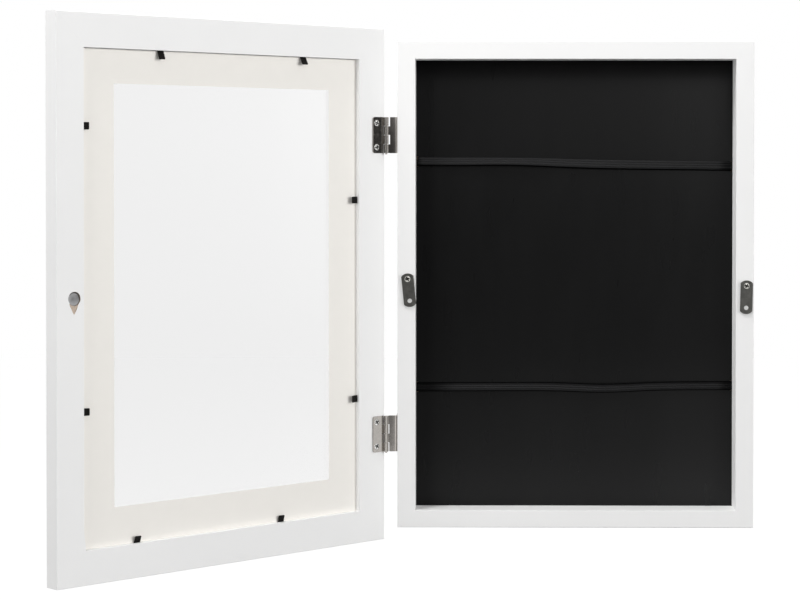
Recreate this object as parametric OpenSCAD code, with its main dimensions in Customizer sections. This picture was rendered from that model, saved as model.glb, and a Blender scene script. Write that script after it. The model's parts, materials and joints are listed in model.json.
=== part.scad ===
// Front-opening picture storage frame: a shallow wooden box that hangs on a wall, and a hinged door
// with a clear pane and a mat. Millimetres. X runs to the right, Y into the wall and Z up.
// The origin is the middle of the back, in the plane that lies against the wall.

/* [Box] */
// Width of the box
box_w = 237; // [180:1:320]
// Height of the box
box_h = 324; // [260:1:440]
// Depth of the box, from its front edge to the wall
box_d = 25; // [20:0.5:40]
// Width of the box's mouldings, seen from the front
box_face = 12; // [11:0.5:18]
// Width of the step at the back that the boards lie in
rebate_w = 5; // [4.5:0.1:5.5]
// Thickness of the fibreboard back
back_board_t = 2.5; // [2:0.1:3.5]
// Thickness of the black panel behind the artwork
panel_t = 1; // [0.8:0.1:1.5]
// Space between the black panel and the back board, where the band ends lie
band_space = 1; // [1:0.1:2]
// Gap around the boards in their step
board_clear = 0.5; // [0.3:0.1:0.8]

/* [Door] */
// How far the door stands past the box at its left and right
door_overlap = 7.5; // [6:0.1:9]
// How far the door stands past the box at its top and bottom
door_overlap_ends = 8.1; // [6:0.1:10]
// Thickness of the door
door_t = 11.8; // [10.5:0.1:15]
// Width of the top and bottom rails on the inner face
door_rail_w = 21; // [18:0.1:26]
// Width of the hinge stile on the inner face
door_hinge_stile_w = 21.9; // [20:0.1:28]
// Width of the free stile on the inner face
door_free_stile_w = 20; // [17:0.1:24]
// Width of the front lip that the pane rests on
lip_w = 5; // [3.5:0.1:6]
// Gap between the closed door and the box
door_gap = 1.4; // [1.3:0.1:2]
// Angle that the door stands open, with 0 for closed
door_open = 137; // [0:1:180]

/* [Pane and mat] */
// Thickness of the clear pane
pane_t = 2; // [1.5:0.1:3]
// Thickness of the mat
mat_t = 1.4; // [1:0.1:2]
// Depth of the mat below the door's inner face
mat_depth = 3; // [2.5:0.1:4]
// Gap around the pane and the mat in the door
pane_clear = 0.4; // [0.2:0.1:0.8]
// Width of the mat's border at the hinge stile
mat_hinge_side = 22.8; // [15:0.1:35]
// Width of the mat's border at the free stile
mat_free_side = 21.4; // [15:0.1:35]
// Width of the mat's border at its top
mat_top = 20.4; // [15:0.1:35]
// Width of the mat's border at its bottom
mat_bottom = 22.7; // [15:0.1:35]

/* [Retaining points] */
// Width of a retaining point
point_w = 4.4; // [3:0.1:6]
// Thickness of a retaining point
point_t = 0.5; // [0.3:0.1:0.6]
// Length of a retaining point
point_l = 11; // [10:0.5:13]
// How far the points in the top rail and the hinge stile stand out of the wood
point_out = 5.9; // [4:0.1:7]
// How far the points in the bottom rail and the free stile stand out of the wood
point_out_deep = 4.7; // [4:0.1:7]
// Height of a retaining point above the mat where it leaves the wood
point_rise = 0.3; // [0.2:0.1:0.6]
// Distance of the outer top point from the corner at the free stile
top_outer_at = 55.7; // [20:0.1:90]
// Distance of the inner top point from the corner at the hinge stile
top_inner_at = 44.9; // [20:0.1:90]
// Distance of the outer bottom point from the corner at the free stile
bottom_outer_at = 38; // [20:1:90]
// Distance of the inner bottom point from the corner at the hinge stile
bottom_inner_at = 62.4; // [20:0.1:90]
// Distance of the upper point in the free stile from the top corner
free_upper_at = 47.6; // [20:0.1:110]
// Distance of the lower point in the free stile from the bottom corner
free_lower_at = 81.7; // [20:0.1:110]
// Distance of the upper point in the hinge stile from the top corner
hinge_upper_at = 92.9; // [20:0.1:110]
// Distance of the lower point in the hinge stile from the bottom corner
hinge_lower_at = 74.3; // [20:0.1:110]

/* [Hinges] */
// Height of a hinge
hinge_h = 24; // [20:0.5:30]
// Distance of a hinge's middle from the top or bottom of the box
hinge_inset = 62.6; // [30:0.1:80]
// Thickness of the hinge's sheet
leaf_t = 0.8; // [0.7:0.05:1]
// Radius of the hinge pin
pin_r = 0.8; // [0.6:0.05:0.9]
// Radial running clearance of the pin in the knuckles
pin_clear = 0.05; // [0.02:0.01:0.08]
// Outer radius of the knuckles
knuckle_r = 1.6; // [1.5:0.05:1.7]
// Distance of the pin's axis from the door's inner face
pin_standoff = 1.9; // [1.9:0.05:2.2]
// Distance of the pin's axis from the door's hinge edge
pin_edge = 0.1; // [0:0.05:0.4]
// Gap between two knuckles
knuckle_gap = 0.2; // [0.1:0.05:0.4]
// Width of the door leaf, from the pin's axis to its far edge
door_leaf_w = 10.3; // [9.5:0.1:12]
// Length of the box leaf's wing along the side of the box
wing_l = 13; // [11:0.1:15]
// Outer radius of the bend in the box leaf
bend_r = 1.5; // [1:0.1:2.5]
// Length of the pin below the lowest knuckle
pin_tip = 0.9; // [0.5:0.1:1.5]
// Distance between a leaf's two screws
screw_pitch = 16; // [13:0.1:18]
// Distance of the door leaf's screws from the pin's axis
door_screw_at = 7.2; // [6.8:0.1:7.5]
// Distance of the wing's screws from the outside of its bend
wing_screw_at = 7.5; // [7:0.1:8.5]

/* [Screws] */
// Radius of a screw's head
head_r = 2; // [1.8:0.05:2.2]
// Height of a screw's countersunk head
head_h = 1.2; // [1:0.1:1.5]
// Radius of a screw's shank
shank_r = 1.1; // [0.9:0.05:1.25]
// Length of a hinge screw
hinge_screw_l = 9; // [7:0.5:10]
// Length of a keeper plate's screw
plate_screw_l = 12; // [8:0.5:15]
// Gap around a screw in its hole
screw_clear = 0.05; // [0.03:0.01:0.1]
// Length of each slot of the cross in a screw's head
cross_l = 2.4; // [1.6:0.1:2.8]
// Width of each slot of the cross
cross_w = 0.6; // [0.3:0.05:0.8]
// Depth of the cross
cross_d = 0.7; // [0.4:0.05:0.8]

/* [Keeper plates] */
// Length of a keeper plate
plate_l = 22.3; // [20:0.1:26]
// Width of a keeper plate
plate_w = 8.1; // [7:0.1:9]
// Thickness of a keeper plate
plate_t = 0.9; // [0.7:0.05:1]
// Radius of the arcs at a plate's ends
plate_end_r = 5.3; // [4.8:0.1:8]
// Distance between a plate's screw and its empty hole
plate_pitch = 14.6; // [12:0.1:15]
// Distance of the screw from the end of its plate
plate_margin = 3.6; // [3.2:0.1:4.2]
// Radius of the plate's empty hole
plate_hole_r = 1.45; // [1:0.05:1.8]
// Gap between a plate and the wood that it turns on
plate_float = 0.1; // [0.05:0.05:0.15]
// Distance of the left plate's screw from the left side of the box
left_plate_in = 6.8; // [6:0.05:8]
// Height of the left plate's screw above the middle of the box
left_plate_up = 3.8; // [-10:0.1:10]
// Angle of the left plate from upright, its lower end to the right
left_plate_tilt = 5.9; // [-20:0.1:20]
// Distance of the right plate's screw from the right side of the box
right_plate_in = 4.8; // [4:0.1:7]
// Height of the right plate's screw above the middle of the box
right_plate_up = -0.6; // [-10:0.1:10]
// Angle of the right plate from upright, its lower end to the right
right_plate_tilt = -1.4; // [-20:0.1:20]

/* [Magnet] */
// Radius of the magnet
magnet_r = 4.05; // [3:0.05:4.5]
// Thickness of the magnet
magnet_t = 4; // [2:0.5:5]
// Radial gap between the magnet and its hole
magnet_clear = 0.45; // [0.2:0.05:0.6]
// How far the magnet lies below the door's inner face
magnet_sink = 0.2; // [0.1:0.05:0.5]
// Distance of the magnet's hole from the door's free edge
magnet_in = 12.3; // [9:0.1:13]
// Height of the magnet's hole above the middle of the door
magnet_up = 0.6; // [-5:0.1:5]
// How far the magnet sits off the middle of its hole, sideways and down
magnet_slip = 0.27; // [0:0.01:0.3]

/* [Elastic bands] */
// Width of a band
band_w = 6.4; // [5:0.1:8]
// Thickness of a band
band_t = 0.6; // [0.4:0.05:0.7]
// Gap between a band and the boards that it passes
band_clear = 0.3; // [0.2:0.05:0.4]
// Length of a band's end behind the black panel
band_end = 16; // [12:0.5:30]
// Gap between a band's end and the panel's rear
band_lift = 0.1; // [0.05:0.05:0.15]
// Length of a staple, across the band
staple_l = 5; // [4:0.1:8]
// Width of a staple's wire
staple_w = 0.5; // [0.3:0.05:0.8]
// Thickness of a staple's wire
staple_t = 0.3; // [0.15:0.05:0.3]
// Distance of a staple from the box's side wall
staple_in = 11; // [8:0.5:12]
// Height of the upper band at its left end, above the middle of the box
upper_band_left = 82; // [40:0.5:110]
// Height of the upper band at its right end, above the middle of the box
upper_band_right = 78.9; // [40:0.1:110]
// Depth of the lower band at its left end, below the middle of the box
lower_band_left = 70.3; // [40:0.1:110]
// Depth of the lower band at its right end, below the middle of the box
lower_band_right = 69.1; // [40:0.1:110]

/* [Hangers] */
// Length of a sawtooth hanger
hanger_l = 42; // [36:1:60]
// Height of a sawtooth hanger
hanger_h = 6; // [5:0.1:6.5]
// Thickness of a hanger's sheet
hanger_t = 0.8; // [0.6:0.05:1]
// How far a hanger's middle stands off the wood
hanger_step = 1.6; // [1.2:0.1:1.8]
// Length of a hanger's flat ends
hanger_end = 7; // [6:0.5:9]
// Number of teeth along a hanger
hanger_teeth = 9; // [5:1:13]
// Depth of the teeth
tooth_h = 1.4; // [0.8:0.1:2]
// How far a hanger lies below the wall plane
hanger_sink = 0.2; // [0.1:0.05:0.5]
// Gap around a hanger in its recess
hanger_clear = 1; // [0.5:0.1:2]
// Width of the wood left beside a hanger's recess
hanger_wall = 0.5; // [0.4:0.1:0.8]
// Radius of a hanger nail's head
nail_head_r = 1.6; // [1.3:0.05:1.9]
// Radius of a hanger nail
nail_r = 0.7; // [0.5:0.05:0.9]
// Length of a hanger nail
nail_l = 9; // [6:0.5:12]

/* [Fixings in the wood] */
// Length of one wing of a V nail
vnail_w = 4; // [3:0.1:5]
// Thickness of a V nail
vnail_t = 0.5; // [0.3:0.05:0.8]
// Depth of a V nail in the wood
vnail_d = 5; // [3.5:0.5:6]
// Distance of a box V nail from the two outer sides
box_vnail_in = 2; // [1.5:0.1:2.5]
// Distance of a door V nail from the two outer sides
door_vnail_in = 8; // [6:0.1:10]
// Thickness of the filler over a door V nail
filler_t = 1.5; // [1:0.1:2]
// Radius of a back board brad
brad_r = 0.6; // [0.4:0.05:0.8]
// Radius of a back board brad's head
brad_head_r = 1.2; // [1:0.05:1.4]
// Length of a back board brad
brad_l = 11; // [8:0.5:14]
// Distance between the two brads on each side, as a share of that side
brad_spread = 0.6; // [0.4:0.05:0.75]

/* [Hidden] */

$fn = 64;
// How far a cut runs past the face that it opens
past = 1;

// Depths, counted along Y from the wall
front_y = -box_d;
board_y = -back_board_t;
panel_back_y = board_y - band_space;
panel_front_y = panel_back_y - panel_t;
door_inner_y = front_y - door_gap;
door_front_y = door_inner_y - door_t;
mat_back_y = door_inner_y - mat_depth;
mat_front_y = mat_back_y - mat_t;
pane_front_y = mat_front_y - pane_t;

// Rectangles as [left, right, bottom, top]
box_out = [-box_w / 2, box_w / 2, -box_h / 2, box_h / 2];
box_in = inset(box_out, box_face, box_face, box_face);
board_pocket = inset(box_in, -rebate_w, -rebate_w, -rebate_w);
board_edge = inset(board_pocket, board_clear, board_clear, board_clear);
door_out = inset(box_out, -door_overlap, -door_overlap, -door_overlap_ends);
door_in = inset(door_out, door_hinge_stile_w, door_free_stile_w, door_rail_w);
door_sight = inset(door_in, lip_w, lip_w, lip_w);
pane_edge = inset(door_in, pane_clear, pane_clear, pane_clear);
mat_window = [pane_edge[0] + mat_hinge_side, pane_edge[1] - mat_free_side,
    pane_edge[2] + mat_bottom, pane_edge[3] - mat_top];

// Hinge line
pin_x = door_out[0] + pin_edge;
pin_y = door_inner_y + pin_standoff;
bore_r = pin_r + pin_clear;
knuckles = 4;
knuckle_l = hinge_h / knuckles;
leaf_relief = 0.4;
bridge_lap = 0.1;
relief = knuckle_r + leaf_relief;
bridge_front = knuckle_r + bridge_lap;
upper_hinge_z = box_out[3] - hinge_inset;
lower_hinge_z = box_out[2] + hinge_inset;
leaf_corner_r = 1.5;
wing_screw_y = pin_y + bridge_front - leaf_t + wing_screw_at;

// Recess that a hanger lies in, and the strip of wood behind the mouldings
hanger_recess = hanger_step + hanger_t + hanger_sink;
back_strip = box_face - rebate_w;
nail_head_h = 0.6;
brad_head_h = 0.5;
brad_in = rebate_w / 2 + board_clear / 2;

// Slits in the black panel, hard against the side walls
slit_w = band_t + 2 * band_clear;
slit_in = 0.3;

function inset(r, left, right, ends) = [r[0] + left, r[1] - right, r[2] + ends, r[3] - ends];
function wide(r) = r[1] - r[0];
function tall(r) = r[3] - r[2];

// The four points of one mitred side, between an outer and an inner rectangle
function mitred(side, o, i) =
    side == "top" ? [[o[0], o[3]], [o[1], o[3]], [i[1], i[3]], [i[0], i[3]]] :
    side == "bottom" ? [[o[0], o[2]], [i[0], i[2]], [i[1], i[2]], [o[1], o[2]]] :
    side == "left" ? [[o[0], o[2]], [o[0], o[3]], [i[0], i[3]], [i[0], i[2]]] :
    [[o[1], o[2]], [i[1], i[2]], [i[1], i[3]], [o[1], o[3]]];

// Draws an outline in X and Z, and gives it depth from y0 back to y1
module slab(y0, y1) {
    translate([0, y1, 0]) rotate([90, 0, 0]) linear_extrude(y1 - y0) children();
}

module rect(r) {
    translate([r[0], r[2]]) square([wide(r), tall(r)]);
}

// Turns what is drawn for the closed door to the angle that the door stands at
module on_door() {
    translate([pin_x, pin_y, 0]) rotate([0, 0, -door_open]) translate([-pin_x, -pin_y, 0]) children();
}

// A countersunk screw along -Z, its head's top at the origin, grown by a gap where it cuts a hole
module screw(l, gap = 0) {
    difference() {
        union() {
            translate([0, 0, -head_h - gap])
                cylinder(h = head_h + gap, r1 = shank_r + gap, r2 = head_r + gap);
            translate([0, 0, -l - gap]) cylinder(h = l + gap, r = shank_r + gap);
            if (gap > 0) cylinder(h = past, r = head_r + gap);
        }
        if (gap == 0) cross_recess();
    }
}

module cross_recess() {
    for (a = [0, 90])
        rotate(a) translate([-cross_l / 2, -cross_w / 2, -cross_d])
            cube([cross_l, cross_w, cross_d + past]);
}

// A round nail along -Z, its head's top at the origin
module nail(l, r, cap_r, cap_h) {
    translate([0, 0, -l]) cylinder(h = l, r = r);
    translate([0, 0, -cap_h]) cylinder(h = cap_h, r = cap_r);
}

// Puts a fixing at a place with its head towards the front, the back or the left
module facing_front(p) {
    translate(p) rotate([90, 0, 0]) children();
}

module facing_back(p) {
    translate(p) rotate([-90, 0, 0]) children();
}

module facing_left(p) {
    translate(p) rotate([0, -90, 0]) children();
}

// One V nail per corner of a rectangle, between two depths
module corner_nails(r, away, y0, y1) {
    for (sx = [0, 1], sz = [0, 1])
        slab(y0, y1)
            translate([r[sx] + (sx == 0 ? away : -away), r[2 + sz] + (sz == 0 ? away : -away)])
                mirror([sx, 0]) mirror([0, sz]) {
                    square([vnail_w, vnail_t]);
                    square([vnail_t, vnail_w]);
                }
}

// ---- The box ----

module box_vnails() {
    corner_nails(box_out, box_vnail_in, -vnail_d, 0);
}

// Places of the hinge screws in the side of the box
module wing_screws(gap = 0) {
    for (z = [upper_hinge_z, lower_hinge_z], s = [-1, 1])
        facing_left([box_out[0] - leaf_t, wing_screw_y, z + s * screw_pitch / 2])
            screw(hinge_screw_l, gap);
}

module plate_screw(p, gap = 0) {
    facing_front([p[0], front_y - plate_float - plate_t, p[1]]) screw(plate_screw_l, gap);
}

left_plate_at = [box_out[0] + left_plate_in, left_plate_up];
right_plate_at = [box_out[1] - right_plate_in, right_plate_up];

// Places a hanger's parts in the middle of the top rail, and of the right stile turned a quarter
module at_portrait() {
    translate([0, -hanger_recess, box_out[3] - back_strip / 2]) children();
}

module at_landscape() {
    translate([box_out[1] - back_strip / 2, -hanger_recess, 0]) rotate([0, 90, 0]) children();
}

module hanger_pocket() {
    translate([-hanger_l / 2 - hanger_clear, 0, -back_strip / 2 - past])
        cube([hanger_l + 2 * hanger_clear, hanger_recess + past, back_strip + past - hanger_wall]);
}

module hanger_nail_pair() {
    for (s = [-1, 1])
        facing_back([s * (hanger_l - hanger_end) / 2, hanger_t + nail_head_h, 0])
            nail(nail_l, nail_r, nail_head_r, nail_head_h);
}

// Places of the brads around the back board
module at_brads() {
    r = inset(box_in, -brad_in, -brad_in, -brad_in);
    for (sx = [0, 1], s = [-1, 1]) translate([r[sx], 0, s * brad_spread * tall(r) / 2]) children();
    for (sz = [2, 3], s = [-1, 1]) translate([s * brad_spread * wide(r) / 2, 0, r[sz]]) children();
}

module brads() {
    at_brads() facing_back([0, 0, 0]) nail(brad_l, brad_r, brad_head_r, brad_head_h);
}

module box_side(side) {
    color("white") difference() {
        slab(front_y, 0) polygon(mitred(side, box_out, box_in));
        slab(panel_front_y, past) rect(board_pocket);
        box_vnails();
        brads();
        wing_screws(screw_clear);
        plate_screw(left_plate_at, screw_clear);
        plate_screw(right_plate_at, screw_clear);
        at_portrait() hanger_pocket();
        at_portrait() hanger_nail_pair();
        at_landscape() hanger_pocket();
        at_landscape() hanger_nail_pair();
    }
}

module box_top_rail() { box_side("top"); }
module box_bottom_rail() { box_side("bottom"); }
module box_left_stile() { box_side("left"); }
module box_right_stile() { box_side("right"); }

module box_corner_nails() {
    color("silver") box_vnails();
}

module band_slits() {
    slit_h = band_w + 2 * band_clear;
    slit_x = [box_in[0] + slit_in, box_in[1] - slit_in - slit_w];
    for (b = [upper_band, lower_band], s = [0, 1])
        translate([slit_x[s], panel_front_y - past, b[s] - slit_h / 2])
            cube([slit_w, panel_t + 2 * past, slit_h]);
}

module black_panel() {
    color([0.06, 0.06, 0.06]) difference() {
        slab(panel_front_y, panel_back_y) rect(board_edge);
        band_slits();
        brads();
    }
}

module back_board() {
    color("tan") difference() {
        slab(board_y, 0) rect(board_edge);
        brads();
    }
}

module back_board_brads() {
    color("silver") brads();
}

// Heights of each band at its left and right slit
upper_band = [upper_band_left, upper_band_right];
lower_band = [-lower_band_left, -lower_band_right];

// A band runs across the front of the panel, through both slits and back along the panel's rear
module elastic_band(b) {
    x0 = box_in[0] + slit_in + band_clear;
    x1 = box_in[1] - slit_in - band_clear;
    y0 = panel_front_y - band_clear - band_t;
    y1 = panel_back_y + band_lift;
    color([0.1, 0.1, 0.1]) {
        slab(y0, y0 + band_t)
            polygon([[x0, b[0] - band_w / 2], [x1, b[1] - band_w / 2], [x1, b[1] + band_w / 2],
                [x0, b[0] + band_w / 2]]);
        for (s = [0, 1]) {
            translate([s == 0 ? x0 : x1 - band_t, y0, b[s] - band_w / 2])
                cube([band_t, y1 + band_t - y0, band_w]);
            translate([s == 0 ? x0 : x1 - band_end, y1, b[s] - band_w / 2])
                cube([band_end, band_t, band_w]);
        }
    }
}

module upper_elastic_band() { elastic_band(upper_band); }
module lower_elastic_band() { elastic_band(lower_band); }

// A staple lies flat on each band end, its crown along the band's width
module band_staples() {
    y1 = panel_back_y + band_lift + band_t;
    color("silver")
        for (b = [upper_band, lower_band], s = [0, 1])
            translate([s == 0 ? box_in[0] + staple_in : box_in[1] - staple_in, y1, b[s]])
                translate([-staple_w / 2, 0, -staple_l / 2]) cube([staple_w, staple_t, staple_l]);
}

// A strip with a raised middle, teeth along one edge and a nail hole in each end
module hanger() {
    raised = hanger_l - 2 * hanger_end;
    tooth = raised / hanger_teeth;
    top = hanger_h / 2;
    color("silver") difference() {
        union() {
            for (s = [-1, 1])
                translate([s * (hanger_l - hanger_end) / 2 - hanger_end / 2, 0, -top])
                    cube([hanger_end, hanger_t, hanger_h]);
            for (s = [-1, 1])
                translate([s * (raised / 2 - hanger_t / 2) - hanger_t / 2, 0, -top])
                    cube([hanger_t, hanger_step + hanger_t, hanger_h]);
            slab(hanger_step, hanger_step + hanger_t)
                polygon(concat([[-raised / 2, top], [-raised / 2, -top]],
                    [for (i = [0:hanger_teeth - 1]) each [[-raised / 2 + i * tooth, -top],
                        [-raised / 2 + (i + 0.5) * tooth, -top + tooth_h]]],
                    [[raised / 2, -top], [raised / 2, top]]));
        }
        for (s = [-1, 1])
            facing_back([s * (hanger_l - hanger_end) / 2, -past, 0])
                cylinder(h = hanger_t + 2 * past, r = nail_r + screw_clear);
    }
}

module portrait_hanger() { at_portrait() hanger(); }
module landscape_hanger() { at_landscape() hanger(); }

module hanger_nails() {
    color("silver") {
        at_portrait() hanger_nail_pair();
        at_landscape() hanger_nail_pair();
    }
}

// ---- The hinges ----

// Knuckles number 0 at the bottom to 3 at the top; own says whether the even or the odd ones
module knuckle_tubes(own) {
    for (k = [own:2:knuckles - 1])
        translate([0, 0, k * knuckle_l + knuckle_gap / 2])
            cylinder(h = knuckle_l - knuckle_gap, r = knuckle_r);
}

// Clears a leaf around the other leaf's knuckles, and the gaps between the knuckles
module knuckle_relief(own) {
    for (k = [1 - own:2:knuckles - 1])
        translate([-relief - past, -relief - past, k * knuckle_l - knuckle_gap / 2])
            cube([2 * relief + past, 2 * relief + 2 * past, knuckle_l + knuckle_gap]);
    for (z = [-past, hinge_h - knuckle_gap / 2])
        translate([-relief - past, -relief - past, z])
            cube([2 * relief + past, 2 * relief + 2 * past, past + knuckle_gap / 2]);
}

// The box leaf runs from the pin to the side of the box, bends and goes back along it
module box_leaf(z, own) {
    side_x = box_out[0] - pin_x;
    color("dimgray") translate([pin_x, pin_y, z - hinge_h / 2]) difference() {
        union() {
            difference() {
                linear_extrude(hinge_h) box_leaf_profile(side_x);
                knuckle_relief(own);
            }
            knuckle_tubes(own);
        }
        translate([0, 0, -past]) cylinder(h = hinge_h + 2 * past, r = bore_r);
        for (s = [-1, 1])
            facing_left([side_x - leaf_t, wing_screw_y - pin_y, hinge_h / 2 + s * screw_pitch / 2])
                screw(hinge_screw_l, screw_clear);
    }
}

// Drawn in X and Y from the pin's axis: a bridge, a quarter bend and the wing
module box_leaf_profile(side_x) {
    y0 = bridge_front - leaf_t;
    translate([0, y0]) square([side_x - bend_r, leaf_t]);
    translate([side_x - leaf_t, y0 + bend_r]) square([leaf_t, wing_l - bend_r]);
    intersection() {
        translate([side_x - bend_r, y0 + bend_r]) difference() {
            circle(bend_r);
            circle(bend_r - leaf_t);
        }
        translate([side_x - bend_r, y0]) square(bend_r);
    }
}

// The door leaf lies flat on the door's inner face
module door_leaf(z, own) {
    y0 = -pin_standoff;
    color("dimgray") on_door() translate([pin_x, pin_y, z - hinge_h / 2]) difference() {
        union() {
            difference() {
                slab(y0, y0 + leaf_t) leaf_outline();
                knuckle_relief(own);
            }
            knuckle_tubes(own);
        }
        translate([0, 0, -past]) cylinder(h = hinge_h + 2 * past, r = bore_r);
        for (s = [-1, 1])
            facing_back([door_screw_at, y0 + leaf_t, hinge_h / 2 + s * screw_pitch / 2])
                screw(hinge_screw_l, screw_clear);
    }
}

// A plate from the pin's axis outward, with its two far corners rounded
module leaf_outline() {
    square([door_leaf_w - leaf_corner_r, hinge_h]);
    translate([0, leaf_corner_r]) square([door_leaf_w, hinge_h - 2 * leaf_corner_r]);
    for (z = [leaf_corner_r, hinge_h - leaf_corner_r])
        translate([door_leaf_w - leaf_corner_r, z]) circle(leaf_corner_r);
}

module door_leaf_screws(gap = 0) {
    for (z = [upper_hinge_z, lower_hinge_z], s = [-1, 1])
        facing_back([pin_x + door_screw_at, door_inner_y + leaf_t, z + s * screw_pitch / 2])
            screw(hinge_screw_l, gap);
}

module hinge_pin(z) {
    color("silver") translate([pin_x, pin_y, z - hinge_h / 2 - pin_tip])
        cylinder(h = hinge_h + pin_tip, r = pin_r);
}

// The upper hinge has the door's knuckle at its top, the lower one the box's
module upper_hinge_box_leaf() { box_leaf(upper_hinge_z, 0); }
module upper_hinge_door_leaf() { door_leaf(upper_hinge_z, 1); }
module lower_hinge_box_leaf() { box_leaf(lower_hinge_z, 1); }
module lower_hinge_door_leaf() { door_leaf(lower_hinge_z, 0); }
module upper_hinge_pin() { hinge_pin(upper_hinge_z); }
module lower_hinge_pin() { hinge_pin(lower_hinge_z); }

module box_hinge_screws() {
    color("silver") wing_screws();
}

module door_hinge_screws() {
    color("silver") on_door() door_leaf_screws();
}

// ---- The keeper plates ----

module left_plate_screw() { color("gray") plate_screw(left_plate_at); }
module right_plate_screw() { color("gray") plate_screw(right_plate_at); }

// Drawn upright below its screw: straight sides, and an arc with two corners at each end
module plate_outline() {
    low = plate_margin - plate_l;
    intersection() {
        translate([-plate_w / 2, low]) square([plate_w, plate_l]);
        union() {
            translate([0, plate_margin - plate_end_r]) circle(plate_end_r);
            translate([0, low + plate_end_r]) circle(plate_end_r);
            translate([-plate_end_r, low + plate_end_r])
                square([2 * plate_end_r, plate_l - 2 * plate_end_r]);
        }
    }
}

module keeper_plate(p, tilt) {
    y1 = front_y - plate_float;
    color("dimgray") difference() {
        translate([p[0], 0, p[1]]) rotate([0, -tilt, 0]) difference() {
            slab(y1 - plate_t, y1) plate_outline();
            translate([0, y1 + past, -plate_pitch]) rotate([90, 0, 0])
                cylinder(h = plate_t + 2 * past, r = plate_hole_r);
        }
        plate_screw(p, screw_clear);
    }
}

module left_keeper_plate() { keeper_plate(left_plate_at, left_plate_tilt); }
module right_keeper_plate() { keeper_plate(right_plate_at, right_plate_tilt); }

// ---- The door, drawn closed and then turned ----

// How far the points' tongues lift off the mat, in degrees
free_lift = 12;
hinge_lift = 22;
low_lift = 16;
mid_lift = 22;
high_lift = 30;

// Edge-on view of a point: a flat root in the wood, then a tongue that lifts off the mat
module point_profile(out, lift) {
    tip = [out * cos(lift), out * sin(lift)];
    thick = [-point_t * sin(lift), point_t * cos(lift)];
    root = out - point_l;
    polygon([[root, 0], [0, 0], tip, tip + thick, [0, point_t], [root, point_t]]);
}

// Puts a point at a place on the edge of the rabbet, pointing along a direction in X and Z
module point_at(x, z, turn, out, lift) {
    translate([x, mat_back_y + point_rise, z]) rotate([0, -turn, 0])
        translate([0, 0, -point_w / 2]) linear_extrude(point_w) point_profile(out, lift);
}

module top_point(x, lift) { point_at(x, door_in[3], -90, point_out, lift); }
module bottom_point(x, lift) { point_at(x, door_in[2], 90, point_out_deep, lift); }
module free_point(z) { point_at(door_in[1], z, 180, point_out_deep, free_lift); }
module hinge_point(z) { point_at(door_in[0], z, 0, point_out, hinge_lift); }

module top_outer() { top_point(door_in[1] - top_outer_at, mid_lift); }
module top_inner() { top_point(door_in[0] + top_inner_at, high_lift); }
module bottom_outer() { bottom_point(door_in[1] - bottom_outer_at, mid_lift); }
module bottom_inner() { bottom_point(door_in[0] + bottom_inner_at, low_lift); }
module free_upper() { free_point(door_in[3] - free_upper_at); }
module free_lower() { free_point(door_in[2] + free_lower_at); }
module hinge_upper() { hinge_point(door_in[3] - hinge_upper_at); }
module hinge_lower() { hinge_point(door_in[2] + hinge_lower_at); }

module all_points() {
    top_outer();
    top_inner();
    bottom_outer();
    bottom_inner();
    free_upper();
    free_lower();
    hinge_upper();
    hinge_lower();
}

module black_point() {
    color([0.08, 0.08, 0.08]) on_door() children();
}

module top_outer_point() { black_point() top_outer(); }
module top_inner_point() { black_point() top_inner(); }
module bottom_outer_point() { black_point() bottom_outer(); }
module bottom_inner_point() { black_point() bottom_inner(); }
module free_upper_point() { black_point() free_upper(); }
module free_lower_point() { black_point() free_lower(); }
module hinge_upper_point() { black_point() hinge_upper(); }
module hinge_lower_point() { black_point() hinge_lower(); }

module door_vnails() {
    corner_nails(door_out, door_vnail_in, door_inner_y - filler_t - vnail_d, door_inner_y - filler_t);
}

magnet_x = door_out[1] - magnet_in;

module magnet_hole() {
    depth = magnet_sink + magnet_t;
    facing_back([magnet_x, door_inner_y, magnet_up])
        translate([0, 0, -depth]) cylinder(h = depth + past, r = magnet_r + magnet_clear);
}

module door_side(side) {
    color("white") on_door() difference() {
        slab(door_front_y, door_inner_y) polygon(mitred(side, door_out, door_sight));
        slab(pane_front_y, door_inner_y + past) rect(door_in);
        all_points();
        door_vnails();
        door_leaf_screws(screw_clear);
        magnet_hole();
    }
}

module door_top_rail() { door_side("top"); }
module door_bottom_rail() { door_side("bottom"); }
module door_hinge_stile() { door_side("left"); }
module door_free_stile() { door_side("right"); }

module door_corner_nails() {
    color("silver") on_door() door_vnails();
}

module clear_pane() {
    color([0.8, 0.9, 0.95, 0.35]) on_door() slab(pane_front_y, mat_front_y) rect(pane_edge);
}

// The window's edge is cut on a slant that shows from the front
module mat() {
    color([0.95, 0.94, 0.88]) on_door() difference() {
        slab(mat_front_y, mat_back_y) rect(pane_edge);
        slab(mat_front_y - past, mat_back_y + past) rect(mat_window);
        window_bevel();
    }
}

// Four slanted cuts, one along each edge of the window
module window_bevel() {
    cx = (mat_window[0] + mat_window[1]) / 2;
    cz = (mat_window[2] + mat_window[3]) / 2;
    w = wide(mat_window) / 2;
    h = tall(mat_window) / 2;
    for (s = [-1, 1]) {
        translate([cx, 0, cz - h - mat_t]) linear_extrude(2 * (h + mat_t)) bevel_wedge(s * w, s);
        translate([cx, 0, cz]) rotate([0, 90, 0]) translate([0, 0, -w - mat_t])
            linear_extrude(2 * (w + mat_t)) bevel_wedge(s * h, s);
    }
}

module bevel_wedge(edge, s) {
    polygon([[edge - s * past, mat_front_y - past], [edge + s * (mat_t + past), mat_front_y - past],
        [edge, mat_back_y], [edge - s * past, mat_back_y]]);
}

// The magnet rests against the lower outer side of its hole
module closing_magnet() {
    at = [magnet_x + magnet_slip, door_inner_y - magnet_sink, magnet_up - magnet_slip];
    color("lightgray") on_door() facing_back(at)
        translate([0, 0, -magnet_t]) cylinder(h = magnet_t, r = magnet_r);
}

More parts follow.
